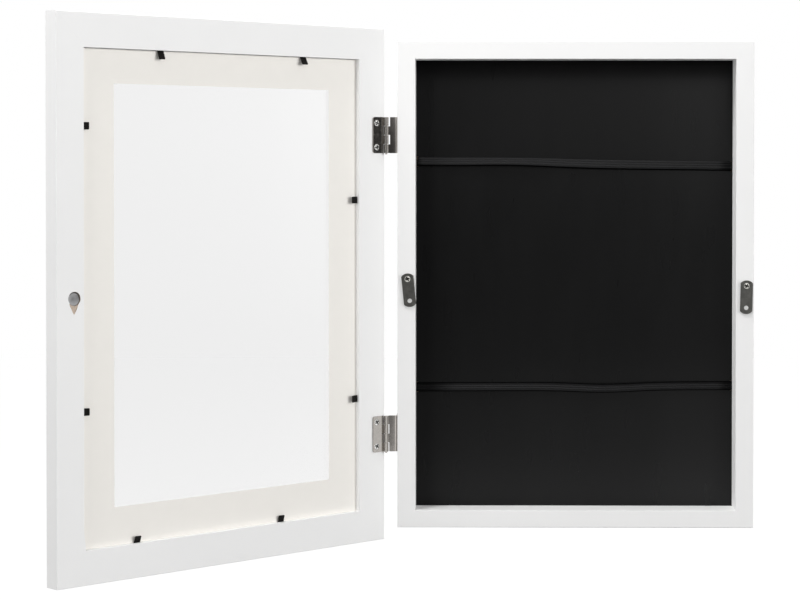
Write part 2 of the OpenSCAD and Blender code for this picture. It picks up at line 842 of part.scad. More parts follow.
box_top_rail();
box_bottom_rail();
box_left_stile();
box_right_stile();
box_corner_nails();
black_panel();
back_board();
back_board_brads();
upper_elastic_band();
lower_elastic_band();
band_staples();
portrait_hanger();
landscape_hanger();
hanger_nails();
upper_hinge_box_leaf();
lower_hinge_box_leaf();
upper_hinge_pin();
lower_hinge_pin();
box_hinge_screws();
left_plate_screw();
right_plate_screw();
left_keeper_plate();
right_keeper_plate();
door_top_rail();
door_bottom_rail();
door_hinge_stile();
door_free_stile();
door_corner_nails();
clear_pane();
mat();
top_outer_point();
top_inner_point();
bottom_outer_point();
bottom_inner_point();
free_upper_point();
free_lower_point();
hinge_upper_point();
hinge_lower_point();
closing_magnet();
upper_hinge_door_leaf();
lower_hinge_door_leaf();
door_hinge_screws();
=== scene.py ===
import json
from math import cos, exp, pi, radians, sin

import bmesh
import bpy
from bpy.props import FloatProperty, FloatVectorProperty, IntProperty, PointerProperty
from bpy.types import Operator, Panel, PropertyGroup
from mathutils import Matrix, Vector


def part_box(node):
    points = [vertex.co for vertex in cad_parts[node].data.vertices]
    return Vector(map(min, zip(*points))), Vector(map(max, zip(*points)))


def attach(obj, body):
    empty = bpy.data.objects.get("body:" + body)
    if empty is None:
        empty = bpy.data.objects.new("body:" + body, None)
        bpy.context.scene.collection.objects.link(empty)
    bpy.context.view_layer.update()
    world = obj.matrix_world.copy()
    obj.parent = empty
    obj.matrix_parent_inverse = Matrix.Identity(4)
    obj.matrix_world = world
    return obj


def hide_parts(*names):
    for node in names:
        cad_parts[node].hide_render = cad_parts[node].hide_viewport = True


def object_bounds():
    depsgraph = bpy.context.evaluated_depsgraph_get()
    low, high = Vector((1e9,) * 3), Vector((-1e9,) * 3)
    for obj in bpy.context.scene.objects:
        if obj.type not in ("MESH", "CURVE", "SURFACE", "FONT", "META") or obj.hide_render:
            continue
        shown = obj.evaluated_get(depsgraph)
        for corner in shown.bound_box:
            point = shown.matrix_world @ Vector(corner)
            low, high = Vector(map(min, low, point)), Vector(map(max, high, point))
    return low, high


bl_info = {
    "name": "Front-Opening Picture Frame",
    "version": (1, 0, 0),
    "blender": (4, 5, 0),
    "location": "View3D > Sidebar > Picture Frame",
    "description": "Dresses a hinged wall frame: paint, mat, pane, elastic bands and steel fittings",
    "category": "Add Mesh",
}

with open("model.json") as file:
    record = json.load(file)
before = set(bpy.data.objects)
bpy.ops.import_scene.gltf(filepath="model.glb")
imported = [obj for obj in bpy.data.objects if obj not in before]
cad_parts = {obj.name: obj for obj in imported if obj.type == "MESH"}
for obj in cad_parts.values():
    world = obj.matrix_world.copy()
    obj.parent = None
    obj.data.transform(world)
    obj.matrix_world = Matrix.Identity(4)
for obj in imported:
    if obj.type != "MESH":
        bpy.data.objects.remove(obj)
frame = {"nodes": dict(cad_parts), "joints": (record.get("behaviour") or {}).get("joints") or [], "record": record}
CAD_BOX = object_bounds()
MM = 0.001
NEAR = 0.01 * MM
WELD = 0.001 * MM

BODY_OF = {node: body for body, nodes in frame["record"]["behaviour"]["bodies"].items() for node in nodes}

# The door stands open at rest: SWING takes it there from its closed place, and CLOSE takes it back
DOOR_HINGE = next(joint for joint in frame["joints"] if joint["name"] == "door_hinge")
PIVOT = Vector(DOOR_HINGE["pos_m"])
SWING = (Matrix.Translation(PIVOT) @ Matrix.Rotation(-radians(DOOR_HINGE["range_deg"][1]), 4, "Z")
         @ Matrix.Translation(-PIVOT))
CLOSE = SWING.inverted()

BOX_MOULDINGS = ("box_top_rail", "box_bottom_rail", "box_left_stile", "box_right_stile")
DOOR_MOULDINGS = ("door_top_rail", "door_bottom_rail", "door_hinge_stile", "door_free_stile")
LEAVES = ("upper_hinge_box_leaf", "lower_hinge_box_leaf", "upper_hinge_door_leaf", "lower_hinge_door_leaf")
PINS = ("upper_hinge_pin", "lower_hinge_pin")
KEEPERS = ("left_keeper_plate", "right_keeper_plate")
HANGERS = ("portrait_hanger", "landscape_hanger")
NAILS = ("hanger_nails", "back_board_brads", "box_corner_nails", "door_corner_nails", "band_staples")

# Which way the heads of the screws look, on the box and on the closed door
SCREW_AXES = {"box_hinge_screws": (-1, 0, 0), "door_hinge_screws": (0, 1, 0),
              "left_plate_screw": (0, -1, 0), "right_plate_screw": (0, -1, 0)}

# How far each retaining point is pushed to the right and up as seen from the front, and how far
# its root stands higher above the mat, in millimetres
POINT_NUDGES = {
    "top_outer_point": (0.85, 0.1, 0.0), "top_inner_point": (0.35, 0.1, 0.0),
    "bottom_outer_point": (0.8, -0.1, 0.0), "bottom_inner_point": (1.0, -0.1, 0.0),
    "free_upper_point": (1.0, 1.2, 0.0), "free_lower_point": (1.0, 0.35, 0.0),
    "hinge_upper_point": (0.4, 0.3, 0.3), "hinge_lower_point": (0.3, 0.2, 0.3)}

# The air that the source leaves between the mat and the rabbet's wall, and how near to that wall
# a vertex has to lie to belong to it
MAT_GAP = 0.4 * MM
RABBET_NEAR = 0.1 * MM


# ---- Sizes and colours that a user would change ----

LENGTH = {"min": 0.0, "unit": "LENGTH"}
COLOUR = {"min": 0.0, "max": 1.0, "subtype": "COLOR"}


class WoodSettings(PropertyGroup):
    """Edges and paint of the mouldings."""
    outer_arris: FloatProperty(
        name="Outer arris", description="Radius of the mouldings' outer edges", default=0.6 * MM, **LENGTH)
    box_arris: FloatProperty(
        name="Box opening arris", description="Radius of the edges around the box's opening",
        default=0.25 * MM, **LENGTH)
    side_ease: FloatProperty(
        name="Side ease", description="How far each side wall of the box's opening moves outwards",
        default=0.12 * MM, max=1.0 * MM, **LENGTH)
    sill_ease: FloatProperty(
        name="Sill ease", description="How far the lower wall of the box's opening moves down",
        default=0.5 * MM, max=1.0 * MM, **LENGTH)
    rabbet_ease: FloatProperty(
        name="Rabbet ease", description="How far the rabbet's wall in the free stile moves outwards",
        default=1.0 * MM, max=2.0 * MM, **LENGTH)
    door_arris: FloatProperty(
        name="Door opening arris", description="Radius of the edges around the door's opening",
        default=0.95 * MM, **LENGTH)
    mitre_line: FloatProperty(
        name="Mitre line", description="Chamfer that shows where two mouldings meet",
        default=0.015 * MM, **LENGTH)
    paint: FloatVectorProperty(
        name="Paint", description="Colour of the satin paint", default=(0.885, 0.883, 0.879), **COLOUR)
    bare: FloatVectorProperty(
        name="Bare board", description="Colour of the board where the paint is missing",
        default=(0.59, 0.48, 0.393), **COLOUR)
    hole_share: FloatProperty(
        name="Hole", description="Width of the magnet and its hole, as a share of the bored one",
        default=0.93, min=0.5, max=1.0, subtype="FACTOR")
    chip_width: FloatProperty(
        name="Chip width", description="Width of the chip in the paint below the magnet",
        default=6.6 * MM, **LENGTH)
    chip_length: FloatProperty(
        name="Chip length", description="Length of the chip in the paint below the magnet",
        default=5.0 * MM, **LENGTH)


class CardSettings(PropertyGroup):
    """Boards, mat and pane."""
    panel: FloatVectorProperty(
        name="Panel", description="Colour of the black panel behind the artwork",
        default=(0.0045, 0.0045, 0.0046), **COLOUR)
    back: FloatVectorProperty(
        name="Back", description="Colour of the fibreboard back", default=(0.3, 0.19, 0.11), **COLOUR)
    mat: FloatVectorProperty(
        name="Mat", description="Colour of the mat's face", default=(0.90, 0.875, 0.83), **COLOUR)
    mat_core: FloatVectorProperty(
        name="Mat core", description="Colour of the mat's cut edge", default=(0.9, 0.89, 0.86), **COLOUR)
    pane: FloatVectorProperty(
        name="Pane", description="Tint of the clear pane", default=(0.878, 0.878, 0.878), **COLOUR)
    mat_growth: FloatProperty(
        name="Mat growth", description="How much closer the mat comes to the hinge stile and bottom rail",
        default=0.36 * MM, max=0.38 * MM, **LENGTH)
    pane_air: FloatProperty(
        name="Pane gap", description="Air between the pane and what it touches", default=0.05 * MM, **LENGTH)


class BandSettings(PropertyGroup):
    """The two elastic bands."""
    ribs: IntProperty(
        name="Ribs", description="Number of ribs along a band", default=4, min=1, max=12)
    width: FloatProperty(
        name="Width", description="Width of a band", default=5.7 * MM, **LENGTH)
    rib_height: FloatProperty(
        name="Rib height", description="How far a rib stands off the band", default=0.45 * MM, **LENGTH)
    colour: FloatVectorProperty(
        name="Elastic", description="Colour of the elastic's yarn",
        default=(0.0115, 0.0115, 0.012), **COLOUR)


class SteelSettings(PropertyGroup):
    """Hinges, screws, plates, points and magnet."""
    edge: FloatProperty(
        name="Sheet edge", description="Rounding of the edges of stamped sheet", default=0.1 * MM, **LENGTH)
    slot: FloatProperty(
        name="Slot", description="Extra width of the slots beside the upper hinge's knuckles",
        default=0.5 * MM, **LENGTH)
    hinge: FloatVectorProperty(
        name="Hinge", description="Colour of the hinges' plating", default=(0.425, 0.403, 0.378), **COLOUR)
    screw: FloatVectorProperty(
        name="Screw", description="Colour of the screws' plating", default=(0.78, 0.78, 0.76), **COLOUR)
    keeper: FloatVectorProperty(
        name="Keeper plate", description="Colour of the keeper plates' dark plating",
        default=(0.105, 0.104, 0.097), **COLOUR)
    magnet: FloatVectorProperty(
        name="Magnet", description="Colour of the magnet's plating", default=(0.375, 0.375, 0.38), **COLOUR)
    zinc: FloatVectorProperty(
        name="Zinc", description="Colour of the hangers and nails", default=(0.56, 0.57, 0.58), **COLOUR)
    point: FloatVectorProperty(
        name="Point", description="Colour of the black retaining points",
        default=(0.0044, 0.0040, 0.0035), **COLOUR)


class StageSettings(PropertyGroup):
    """Camera, lamps and floor."""
    lens: FloatProperty(
        name="Lens", description="Focal length in millimetres", default=94.54, min=1.0)
    distance: FloatProperty(
        name="Distance", description="Distance of the camera from the wall plane",
        default=1.4214, unit="LENGTH")
    aside: FloatProperty(
        name="Aside", description="Place of the camera to the right of the box's middle",
        default=-0.0641, unit="LENGTH")
    height: FloatProperty(
        name="Height", description="Height of the camera above the box's middle",
        default=0.0799, unit="LENGTH")
    pitch: FloatProperty(
        name="Pitch", description="How far the camera looks down", default=radians(0.872), subtype="ANGLE")
    yaw: FloatProperty(
        name="Yaw", description="How far the camera is turned to the left",
        default=radians(0.395), subtype="ANGLE")
    roll: FloatProperty(
        name="Roll", description="How far the camera is rolled", default=radians(0.033), subtype="ANGLE")
    shift: FloatVectorProperty(
        name="Shift", description="Sideways and upward shift of the lens",
        size=2, default=(-0.0808, -0.1294))
    ambient: FloatProperty(
        name="Ambient", description="Strength of the even light from all round", default=0.42, min=0.0)
    left_sky: FloatProperty(
        name="Left", description="Strength of the broad light from the front left", default=0.95, min=0.0)
    right_sky: FloatProperty(
        name="Right", description="Strength of the broad light from the right", default=2.08, min=0.0)
    back_sky: FloatProperty(
        name="Back", description="Strength of the broad light on the back", default=1.7, min=0.0)
    high_lamp: FloatProperty(
        name="High", description="Power in watts of the lamp high above the door", default=17.0, min=0.0)
    floor_drop: FloatProperty(
        name="Floor drop", description="Distance of the floor below the hung frame", default=0.25, **LENGTH)


# ---- Meshes ----

def corners_of(points):
    """Lowest and highest corner of some points."""
    points = list(points)
    return [Vector(pick(point[axis] for point in points) for axis in range(3)) for pick in (min, max)]


def closed_box(node):
    """Lowest and highest corner of a door node with the door closed."""
    return corners_of(CLOSE @ vertex.co for vertex in frame["nodes"][node].data.vertices)


def is_inside(point, low, high):
    return all(low[axis] < point[axis] < high[axis] for axis in range(3))


def merged_copy(node, turn=None):
    """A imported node's mesh with its triangles merged and its flat faces whole again."""
    bm = bmesh.new()
    bm.from_mesh(frame["nodes"][node].data)
    if turn:
        bmesh.ops.transform(bm, matrix=turn, verts=bm.verts)
    bmesh.ops.remove_doubles(bm, verts=bm.verts, dist=WELD)
    bmesh.ops.dissolve_limit(bm, angle_limit=radians(0.5), verts=bm.verts, edges=bm.edges)
    return bm


def bevel(bm, edges, radius, segments=3):
    """Rounds edges with Blender's own bevel."""
    bmesh.ops.bevel(bm, geom=edges, offset=radius, offset_type="OFFSET", segments=segments,
                    profile=0.5, affect="EDGES", material=-1, clamp_overlap=True)


def move_plane(bm, axis, place, distance, near=NEAR):
    """Moves the vertices that lie in one plane across an axis."""
    for vertex in bm.verts:
        if abs(vertex.co[axis] - place) < near:
            vertex.co[axis] += distance


def only(kind, geometry):
    """The vertices, or the edges, among what an operator made."""
    return [item for item in geometry if isinstance(item, kind)]


def pointing(centre, axis):
    """Takes a shape from the origin to a centre, with its Z along an axis."""
    return Matrix.Translation(centre) @ Vector(axis).to_track_quat("Z", "Y").to_matrix().to_4x4()


def turned(profile, centre, axis, steps=48):
    """A lathe-turned shape: (radius, height) pairs spun about an axis through a centre."""
    bm = bmesh.new()
    verts = [bm.verts.new((radius, 0.0, height)) for radius, height in profile]
    edges = [bm.edges.new(pair) for pair in zip(verts, verts[1:])]
    bmesh.ops.spin(bm, geom=verts + edges, cent=(0, 0, 0), axis=(0, 0, 1), angle=2 * pi,
                   steps=steps, use_merge=True)
    bmesh.ops.remove_doubles(bm, verts=bm.verts, dist=WELD)
    bmesh.ops.recalc_face_normals(bm, faces=bm.faces)
    bmesh.ops.transform(bm, matrix=pointing(centre, axis), verts=bm.verts)
    return bm


def link_object(name, data):
    """Puts a mesh, a lamp or a camera into the scene."""
    made = bpy.data.objects.new(name, data)
    bpy.context.scene.collection.objects.link(made)
    return made


def object_of(name, bm, *materials):
    """Makes an object of a bmesh, and frees the bmesh."""
    mesh = bpy.data.meshes.new(name)
    bm.to_mesh(mesh)
    bm.free()
    for material in materials:
        mesh.materials.append(material)
    return link_object(name, mesh)


def stand_for(bm, node, *materials, turn=None, smooth_angle=35):
    """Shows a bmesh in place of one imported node, on the same body."""
    if turn:
        bmesh.ops.transform(bm, matrix=turn, verts=bm.verts)
    for face in bm.faces:
        face.smooth = True
    for edge in bm.edges:
        edge.smooth = len(edge.link_faces) == 2 and edge.calc_face_angle() < radians(smooth_angle)
    piece = object_of("dressed_" + node, bm, *materials)
    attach(piece, BODY_OF[node])
    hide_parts(node)
    return piece


def soften(piece, width):
    """Rounds every sharp edge of a piece with a live bevel."""
    modifier = piece.modifiers.new("Edges", "BEVEL")
    modifier.width = width
    modifier.segments = 2
    modifier.limit_method = "ANGLE"
    modifier.angle_limit = radians(40)
    modifier.harden_normals = True


def flatten_shading(piece):
    """Keeps the wide faces flat beside their rounded edges."""
    modifier = piece.modifiers.new("Flat faces", "WEIGHTED_NORMAL")
    modifier.keep_sharp = True


def carve(piece, cutter):
    """Cuts one object out of another and takes the cutter away."""
    modifier = piece.modifiers.new("Cut", "BOOLEAN")
    modifier.object = cutter
    modifier.operation = "DIFFERENCE"
    modifier.solver = "EXACT"
    modifier.material_mode = "TRANSFER"
    bpy.context.view_layer.update()
    whole = piece.evaluated_get(bpy.context.evaluated_depsgraph_get())
    carved = bpy.data.meshes.new_from_object(whole)
    piece.modifiers.clear()
    piece.data = carved
    bpy.data.objects.remove(cutter)


def coat(node, material):
    """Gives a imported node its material."""
    mesh = frame["nodes"][node].data
    mesh.materials.clear()
    mesh.materials.append(material)


def hide_from(thing, *rays):
    """Keeps an object out of some kinds of light rays."""
    for ray in rays:
        setattr(thing, "visible_" + ray, False)


# ---- Materials ----

# The greatest strength that a ramp can give
BRIGHTEST = 2.0

# How strongly the panel's facing reflects, as a painted sheen: weaker as painted shade under the top rail
# and on the left, stronger towards the bottom and the right. (place, share) stops up and across it, and how far
# from its middle they reach
PAINTED_SHEEN_UP = ((-0.146, 1.5), (-0.11, 1.2), (-0.07, 1.0), (-0.04, 0.8), (0.0, 0.82), (0.05, 0.92),
              (0.09, 1.1), (0.127, 1.15), (0.14, 0.5), (0.148, 0.2))
PAINTED_SHEEN_ACROSS = ((-0.103, 0.55), (-0.09, 0.8), (-0.05, 0.95), (0.04, 1.0), (0.09, 1.22), (0.1, 1.1))
PAINTED_SHEEN_HALF_UP = 150 * MM
PAINTED_SHEEN_HALF_ACROSS = 107 * MM


class NodeTree:
    """The nodes of a material or a world under construction."""

    def __init__(self, owner):
        owner.use_nodes = True
        self.tree = owner.node_tree

    def feed(self, socket, value):
        """Links an output to a socket, or sets a constant value on it."""
        if isinstance(value, bpy.types.NodeSocket):
            self.tree.links.new(value, socket)
        else:
            socket.default_value = value

    def fill(self, node, **sockets):
        """Feeds a node's sockets by name."""
        for name, value in sockets.items():
            self.feed(node.inputs[name.replace("_", " ")], value)

    def node(self, kind, **sockets):
        """A new node with its sockets fed."""
        made = self.tree.nodes.new("ShaderNode" + kind)
        self.fill(made, **sockets)
        return made

    def maths(self, operation, first, second):
        """Two values multiplied or compared."""
        made = self.node("Math")
        made.operation = operation
        self.feed(made.inputs[0], first)
        self.feed(made.inputs[1], second)
        return made.outputs["Value"]

    def span(self, value, low=0.0, high=1.0, start=0.3, end=0.7):
        """Maps a pattern that runs from start to end to a range."""
        made = self.node("MapRange", Value=value, From_Min=start, From_Max=end, To_Min=low, To_Max=high)
        return made.outputs["Result"]

    def ramp(self, value, stops, low, high):
        """Strengths from low to high along one direction, through (place, strength) stops."""
        curve = self.node("FloatCurve", Value=self.span(value, start=low, end=high))
        points = curve.mapping.curves[0].points
        places = [((place - low) / (high - low), strength / BRIGHTEST) for place, strength in stops]
        places = [(0.0, places[0][1])] + places + [(1.0, places[-1][1])]
        while len(points) < len(places):
            points.new(0.5, 0.5)
        for point, place in zip(points, places):
            point.location = place
        curve.mapping.update()
        return curve.outputs["Value"]


def scaled(colour, factor):
    return tuple(channel * factor for channel in colour)


class Finish(NodeTree):
    """A material with its patterns on Object coordinates."""

    def __init__(self, name, **sockets):
        self.material = bpy.data.materials.new(name)
        super().__init__(self.material)
        self.shader = self.tree.nodes["Principled BSDF"]
        self.place = self.node("TexCoord").outputs["Object"]
        self.bumps = None
        self.surface(**sockets)

    def surface(self, **sockets):
        """Feeds the shader's own sockets."""
        self.fill(self.shader, **sockets)

    def noise(self, size, detail=2.0, roughness=0.5, stretch=(1, 1, 1), distortion=0.0):
        """A noise whose patches are about that size, drawn out along the axes by stretch."""
        mapping = self.node("Mapping", Vector=self.place, Scale=[1 / (size * s) for s in stretch])
        made = self.node("TexNoise", Vector=mapping.outputs["Vector"], Scale=1.0, Detail=detail,
                         Roughness=roughness, Distortion=distortion)
        return made.outputs["Fac"]

    def mixed(self, factor, first, second):
        """A colour between two colours."""
        made = self.node("Mix")
        made.data_type = "RGBA"
        self.feed(made.inputs["Factor"], factor)
        for socket, colour in ((made.inputs[6], first), (made.inputs[7], second)):
            self.feed(socket, colour if isinstance(colour, bpy.types.NodeSocket) else (*colour, 1.0))
        return made.outputs[2]

    def shades(self, factor, colour, low, high):
        """A tone between two shades of one colour."""
        return self.mixed(factor, scaled(colour, low), scaled(colour, high))

    def bump(self, height, depth):
        """Adds a relief of that depth in metres on top of the ones before."""
        made = self.node("Bump", Height=height, Strength=1.0, Distance=depth)
        if self.bumps:
            self.feed(made.inputs["Normal"], self.bumps)
        self.bumps = made.outputs["Normal"]
        self.surface(Normal=self.bumps)


def satin_paint(wood):
    """Sprayed satin paint: a faint orange peel, soft sheen patches and hardly any change in tone."""
    finish = Finish("satin_paint", IOR=1.45, Specular_IOR_Level=0.4)
    tone = finish.span(finish.noise(45 * MM, detail=3))
    sheen = finish.noise(12 * MM, detail=4)
    finish.surface(Base_Color=finish.shades(tone, wood.paint, 0.985, 1.0),
                   Roughness=finish.span(sheen, 0.40, 0.52))
    finish.bump(finish.noise(1.6 * MM), 0.012 * MM)
    finish.bump(finish.noise(0.35 * MM, detail=1), 0.003 * MM)
    return finish.material


def bare_board(wood):
    """Raw medium-density board: felted fibres and dark specks."""
    finish = Finish("bare_board", Specular_IOR_Level=0.15)
    fibres = finish.noise(0.35 * MM, detail=4, roughness=0.7)
    specks = finish.span(finish.noise(0.7 * MM), start=0.55)
    body = finish.shades(fibres, wood.bare, 0.75, 1.15)
    finish.surface(Base_Color=finish.mixed(specks, body, scaled(wood.bare, 0.6)),
                   Roughness=finish.span(fibres, 0.75, 0.95))
    finish.bump(fibres, 0.06 * MM)
    return finish.material


def fibreboard(card):
    """Hardboard's smooth side: long pressed fibres and a waxy variation in tone."""
    finish = Finish("fibreboard", Specular_IOR_Level=0.3)
    clouds = finish.noise(30 * MM, detail=4, roughness=0.6)
    fibres = finish.noise(0.5 * MM, detail=4, roughness=0.75, stretch=(5, 1, 1), distortion=1.5)
    body = finish.shades(finish.span(clouds), card.back, 0.85, 1.12)
    streaks = finish.span(fibres, 0.0, 0.55, 0.45, 0.75)
    finish.surface(Base_Color=finish.mixed(streaks, body, scaled(card.back, 0.5)),
                   Roughness=finish.span(clouds, 0.45, 0.62))
    finish.bump(fibres, 0.04 * MM)
    return finish.material


def black_facing(card):
    """Black paper facing on board, with a painted sheen: its reflection is ramped across the panel, weaker as
    painted shade under the top rail and on the left.
    """
    finish = Finish("black_facing")
    clouds = finish.noise(60 * MM, detail=3, stretch=(0.6, 1, 1.6))
    sheen = finish.noise(25 * MM, stretch=(0.5, 1, 2))
    place = finish.node("SeparateXYZ", Vector=finish.place).outputs
    # Painted sheen and painted shade: the facing's reflection strength is ramped up and across the panel
    painted_sheen = finish.maths(
        "MULTIPLY", finish.ramp(place["Z"], PAINTED_SHEEN_UP, -PAINTED_SHEEN_HALF_UP, PAINTED_SHEEN_HALF_UP),
        finish.ramp(place["X"], PAINTED_SHEEN_ACROSS, -PAINTED_SHEEN_HALF_ACROSS, PAINTED_SHEEN_HALF_ACROSS))
    finish.surface(Base_Color=finish.shades(finish.span(clouds), card.panel, 0.95, 1.12),
                   Roughness=finish.span(sheen, 0.27, 0.31),
                   Specular_IOR_Level=finish.span(painted_sheen, 0.0, 0.56, 0.0, 1.0))
    finish.bump(finish.noise(70 * MM, stretch=(0.5, 1, 1.5)), 0.25 * MM)
    finish.bump(finish.noise(0.4 * MM, detail=3, roughness=0.6), 0.008 * MM)
    return finish.material


def elastic_yarn(bands):
    """Knitted elastic: fine cross threads over the ribs; a painted light per vertex darkens the yarn and its sheen
    as painted shade in the grooves, along the edges and at the ends.
    """
    finish = Finish("elastic_yarn", Sheen_Roughness=0.4)
    # The painted light of the ribs, edges and ends, read from the band's vertices
    rib = finish.node("Attribute")
    rib.attribute_name = "rib"
    lit = rib.outputs["Fac"]
    wave = finish.node("TexWave", Vector=finish.place, Scale=0.55 / MM, Distortion=1.2, Detail=2.0)
    wave.bands_direction = "X"
    along = wave.outputs["Fac"]
    fuzz = finish.noise(0.3 * MM, detail=3, roughness=0.7)
    threads = finish.shades(along, bands.colour, 0.7, 1.5)
    body = finish.mixed(finish.span(fuzz, 0.0, 0.5), threads, scaled(bands.colour, 1.9))
    finish.surface(Base_Color=finish.mixed(lit, scaled(bands.colour, 0.12), body),
                   Roughness=finish.span(fuzz, 0.5, 0.75),
                   Specular_IOR_Level=finish.span(lit, 0.0, 0.22, 0.0, 1.0),
                   Sheen_Weight=finish.span(lit, 0.0, 0.1, 0.0, 1.0))
    finish.bump(along, 0.05 * MM)
    finish.bump(fuzz, 0.03 * MM)
    return finish.material


def clear_sheet(card):
    """Clear styrene sheet with a faint haze."""
    finish = Finish("clear_sheet", Base_Color=(*card.pane, 1.0), IOR=1.49, Transmission_Weight=1.0)
    finish.surface(Roughness=finish.span(finish.noise(40 * MM), 0.0, 0.015))
    return finish.material


def mat_face(card):
    """Cream mat board: paper grain, faint mottling and single pale fibres."""
    finish = Finish("mat_face", Specular_IOR_Level=0.2)
    mottling = finish.noise(9 * MM, detail=5, roughness=0.65)
    fibres = finish.noise(0.4 * MM, detail=3, roughness=0.7, stretch=(1, 1, 3), distortion=2.0)
    body = finish.shades(finish.span(mottling), card.mat, 0.985, 1.0)
    pale = finish.span(fibres, 0.0, 0.35, 0.6, 0.8)
    finish.surface(Base_Color=finish.mixed(pale, body, scaled(card.mat, 1.04)),
                   Roughness=finish.span(mottling, 0.8, 0.9))
    finish.bump(fibres, 0.015 * MM)
    return finish.material


def mat_core(card):
    """The mat's cut edge: pressed white pulp with the drag marks of the blade."""
    finish = Finish("mat_core", Specular_IOR_Level=0.15)
    drag = finish.noise(0.25 * MM, stretch=(6, 1, 6))
    finish.surface(Base_Color=finish.shades(drag, card.mat_core, 0.95, 1.0),
                   Roughness=finish.span(drag, 0.8, 0.95))
    finish.bump(drag, 0.02 * MM)
    return finish.material


def plated(name, colour, low, high, grain=0.8, bump_depth=0.004, mottle=0.12):
    """Plated steel: clouded tone, fine rolling marks and a roughness between two values."""
    finish = Finish(name, Metallic=1.0)
    clouds = finish.noise(2.5 * MM, detail=4, roughness=0.6)
    marks = finish.noise(0.18 * MM, detail=3, roughness=0.6, stretch=(1, 1, 1 + 8 * grain))
    wear = finish.maths("MULTIPLY", clouds, marks)
    finish.surface(Base_Color=finish.shades(finish.span(clouds), colour, 1 - mottle, 1 + mottle),
                   Roughness=finish.span(wear, low, high, 0.12, 0.4))
    finish.bump(marks, bump_depth * MM)
    return finish.material


def black_oxide(steel):
    """Blackened spring steel with rubbed, slightly lighter patches."""
    finish = Finish("black_oxide", Specular_IOR_Level=0.08)
    rub = finish.noise(0.8 * MM, detail=4, roughness=0.65)
    patches = finish.span(rub, 0.0, 1.0, 0.45, 0.75)
    finish.surface(Base_Color=finish.shades(patches, steel.point, 1.0, 3.2),
                   Roughness=finish.span(rub, 0.35, 0.6))
    finish.bump(finish.noise(0.25 * MM), 0.006 * MM)
    return finish.material


# ---- Stage ----

# The pale floor: its grey in the light, how bright it looks, and half its size
FLOOR_GREY = 0.3
FLOOR_GLOW = 0.822
FLOOR_HALF = 4.0

# The broad lights: how far round to the right of the front each stands, and how high, in degrees
SKIES = {"left_sky": (-40, 5), "right_sky": (70, 5), "back_sky": (190, 2)}
SKY_WIDTH = radians(35)

# The lamp high above the door: its place, what it points at and its width
HIGH_LAMP = ((-0.6, -0.45, 1.3), (0.1, -0.02, -0.1), 0.5)

# The flat upright cards that are seen only in reflections: two opposite corners, the axis that
# each runs along, and its (place, strength) stops along that axis and up
CARDS = {
    "front_card": ((-1.6, -2.2, -1.3), (1.6, -2.2, 1.1), 0,
                   ((-0.9, 0.4), (-0.5, 0.5), (-0.27, 0.35), (-0.15, 0.4), (0.0, 0.9), (0.3, 1.25),
                    (0.8, 1.5)),
                   ((-0.8, 1.5), (-0.55, 1.4), (-0.42, 1.1), (-0.34, 0.85), (-0.2, 0.15),
                    (-0.03, 0.1), (0.12, 0.25), (0.18, 0.7), (0.3, 1.5), (0.6, 1.8))),
    "side_card": ((1.5, -1.4, -1.0), (1.5, -0.265, 1.0), 1, ((-0.7, 0.5), (-0.4, 1.0), (-0.28, 1.5)),
                  ((-0.45, 0.55), (-0.33, 0.45), (-0.22, 0.35), (-0.1, 0.6), (0.03, 0.95), (0.2, 1.3))),
    "dark_card": ((1.5, -0.265, -0.1), (1.5, 0.9, 0.7), 1, ((-0.2, 0.05), (0.5, 0.1)),
                  ((0.0, 0.6), (0.1, 1.0))),
}


def add_reflection_card(name, low, high, wide_axis, across, up):
    """A card of light that is brighter in some places than in others."""
    material = bpy.data.materials.new(name)
    nodes = NodeTree(material)
    nodes.tree.nodes.clear()
    place = nodes.node("SeparateXYZ", Vector=nodes.node("TexCoord").outputs["Object"])
    strengths = [nodes.ramp(place.outputs[axis], stops, low[axis], high[axis])
                 for axis, stops in ((wide_axis, across), (2, up))]
    level = nodes.maths("MULTIPLY", nodes.maths("MULTIPLY", *strengths), BRIGHTEST ** 2)
    glow = nodes.node("Emission", Strength=level)
    nodes.node("OutputMaterial", Surface=glow.outputs["Emission"])
    bm = bmesh.new()
    bm.faces.new([bm.verts.new((*side[:2], level[2]))
                  for side, level in ((low, low), (high, low), (high, high), (low, high))])
    card = object_of(name, bm, material)
    hide_from(card, "camera", "diffuse", "transmission", "shadow", "volume_scatter")


def strength_by_ray(nodes, plain, seen):
    """One strength for light on surfaces, and one for what is seen straight, mirrored or through glass."""
    path = nodes.node("LightPath").outputs
    seen_ray = nodes.maths("MAXIMUM", path["Is Camera Ray"], path["Is Glossy Ray"])
    seen_ray = nodes.maths("MAXIMUM", seen_ray, path["Is Transmission Ray"])
    return nodes.span(seen_ray, plain, seen, 0.0, 1.0)


def set_world(stage):
    """Even white surroundings: pure white where seen, plainer as a light."""
    world = bpy.data.worlds.new("studio")
    nodes = NodeTree(world)
    bpy.context.scene.world = world
    nodes.fill(nodes.tree.nodes["Background"], Color=(1, 1, 1, 1),
               Strength=strength_by_ray(nodes, stage.ambient, 1.0))


def add_floor(stage):
    """A pale floor below the hung frame, which takes its shadow."""
    material = bpy.data.materials.new("pale_floor")
    nodes = NodeTree(material)
    nodes.fill(nodes.tree.nodes["Principled BSDF"], Base_Color=(FLOOR_GREY, FLOOR_GREY, FLOOR_GREY, 1),
               Roughness=0.9, Specular_IOR_Level=0.0, Emission_Color=(1, 1, 1, 1),
               Emission_Strength=strength_by_ray(nodes, 0.0, FLOOR_GLOW))
    bm = bmesh.new()
    bmesh.ops.create_grid(bm, x_segments=1, y_segments=1, size=FLOOR_HALF)
    bmesh.ops.translate(bm, vec=(0, 0, CAD_BOX[0].z - stage.floor_drop), verts=bm.verts)
    object_of("floor", bm, material)


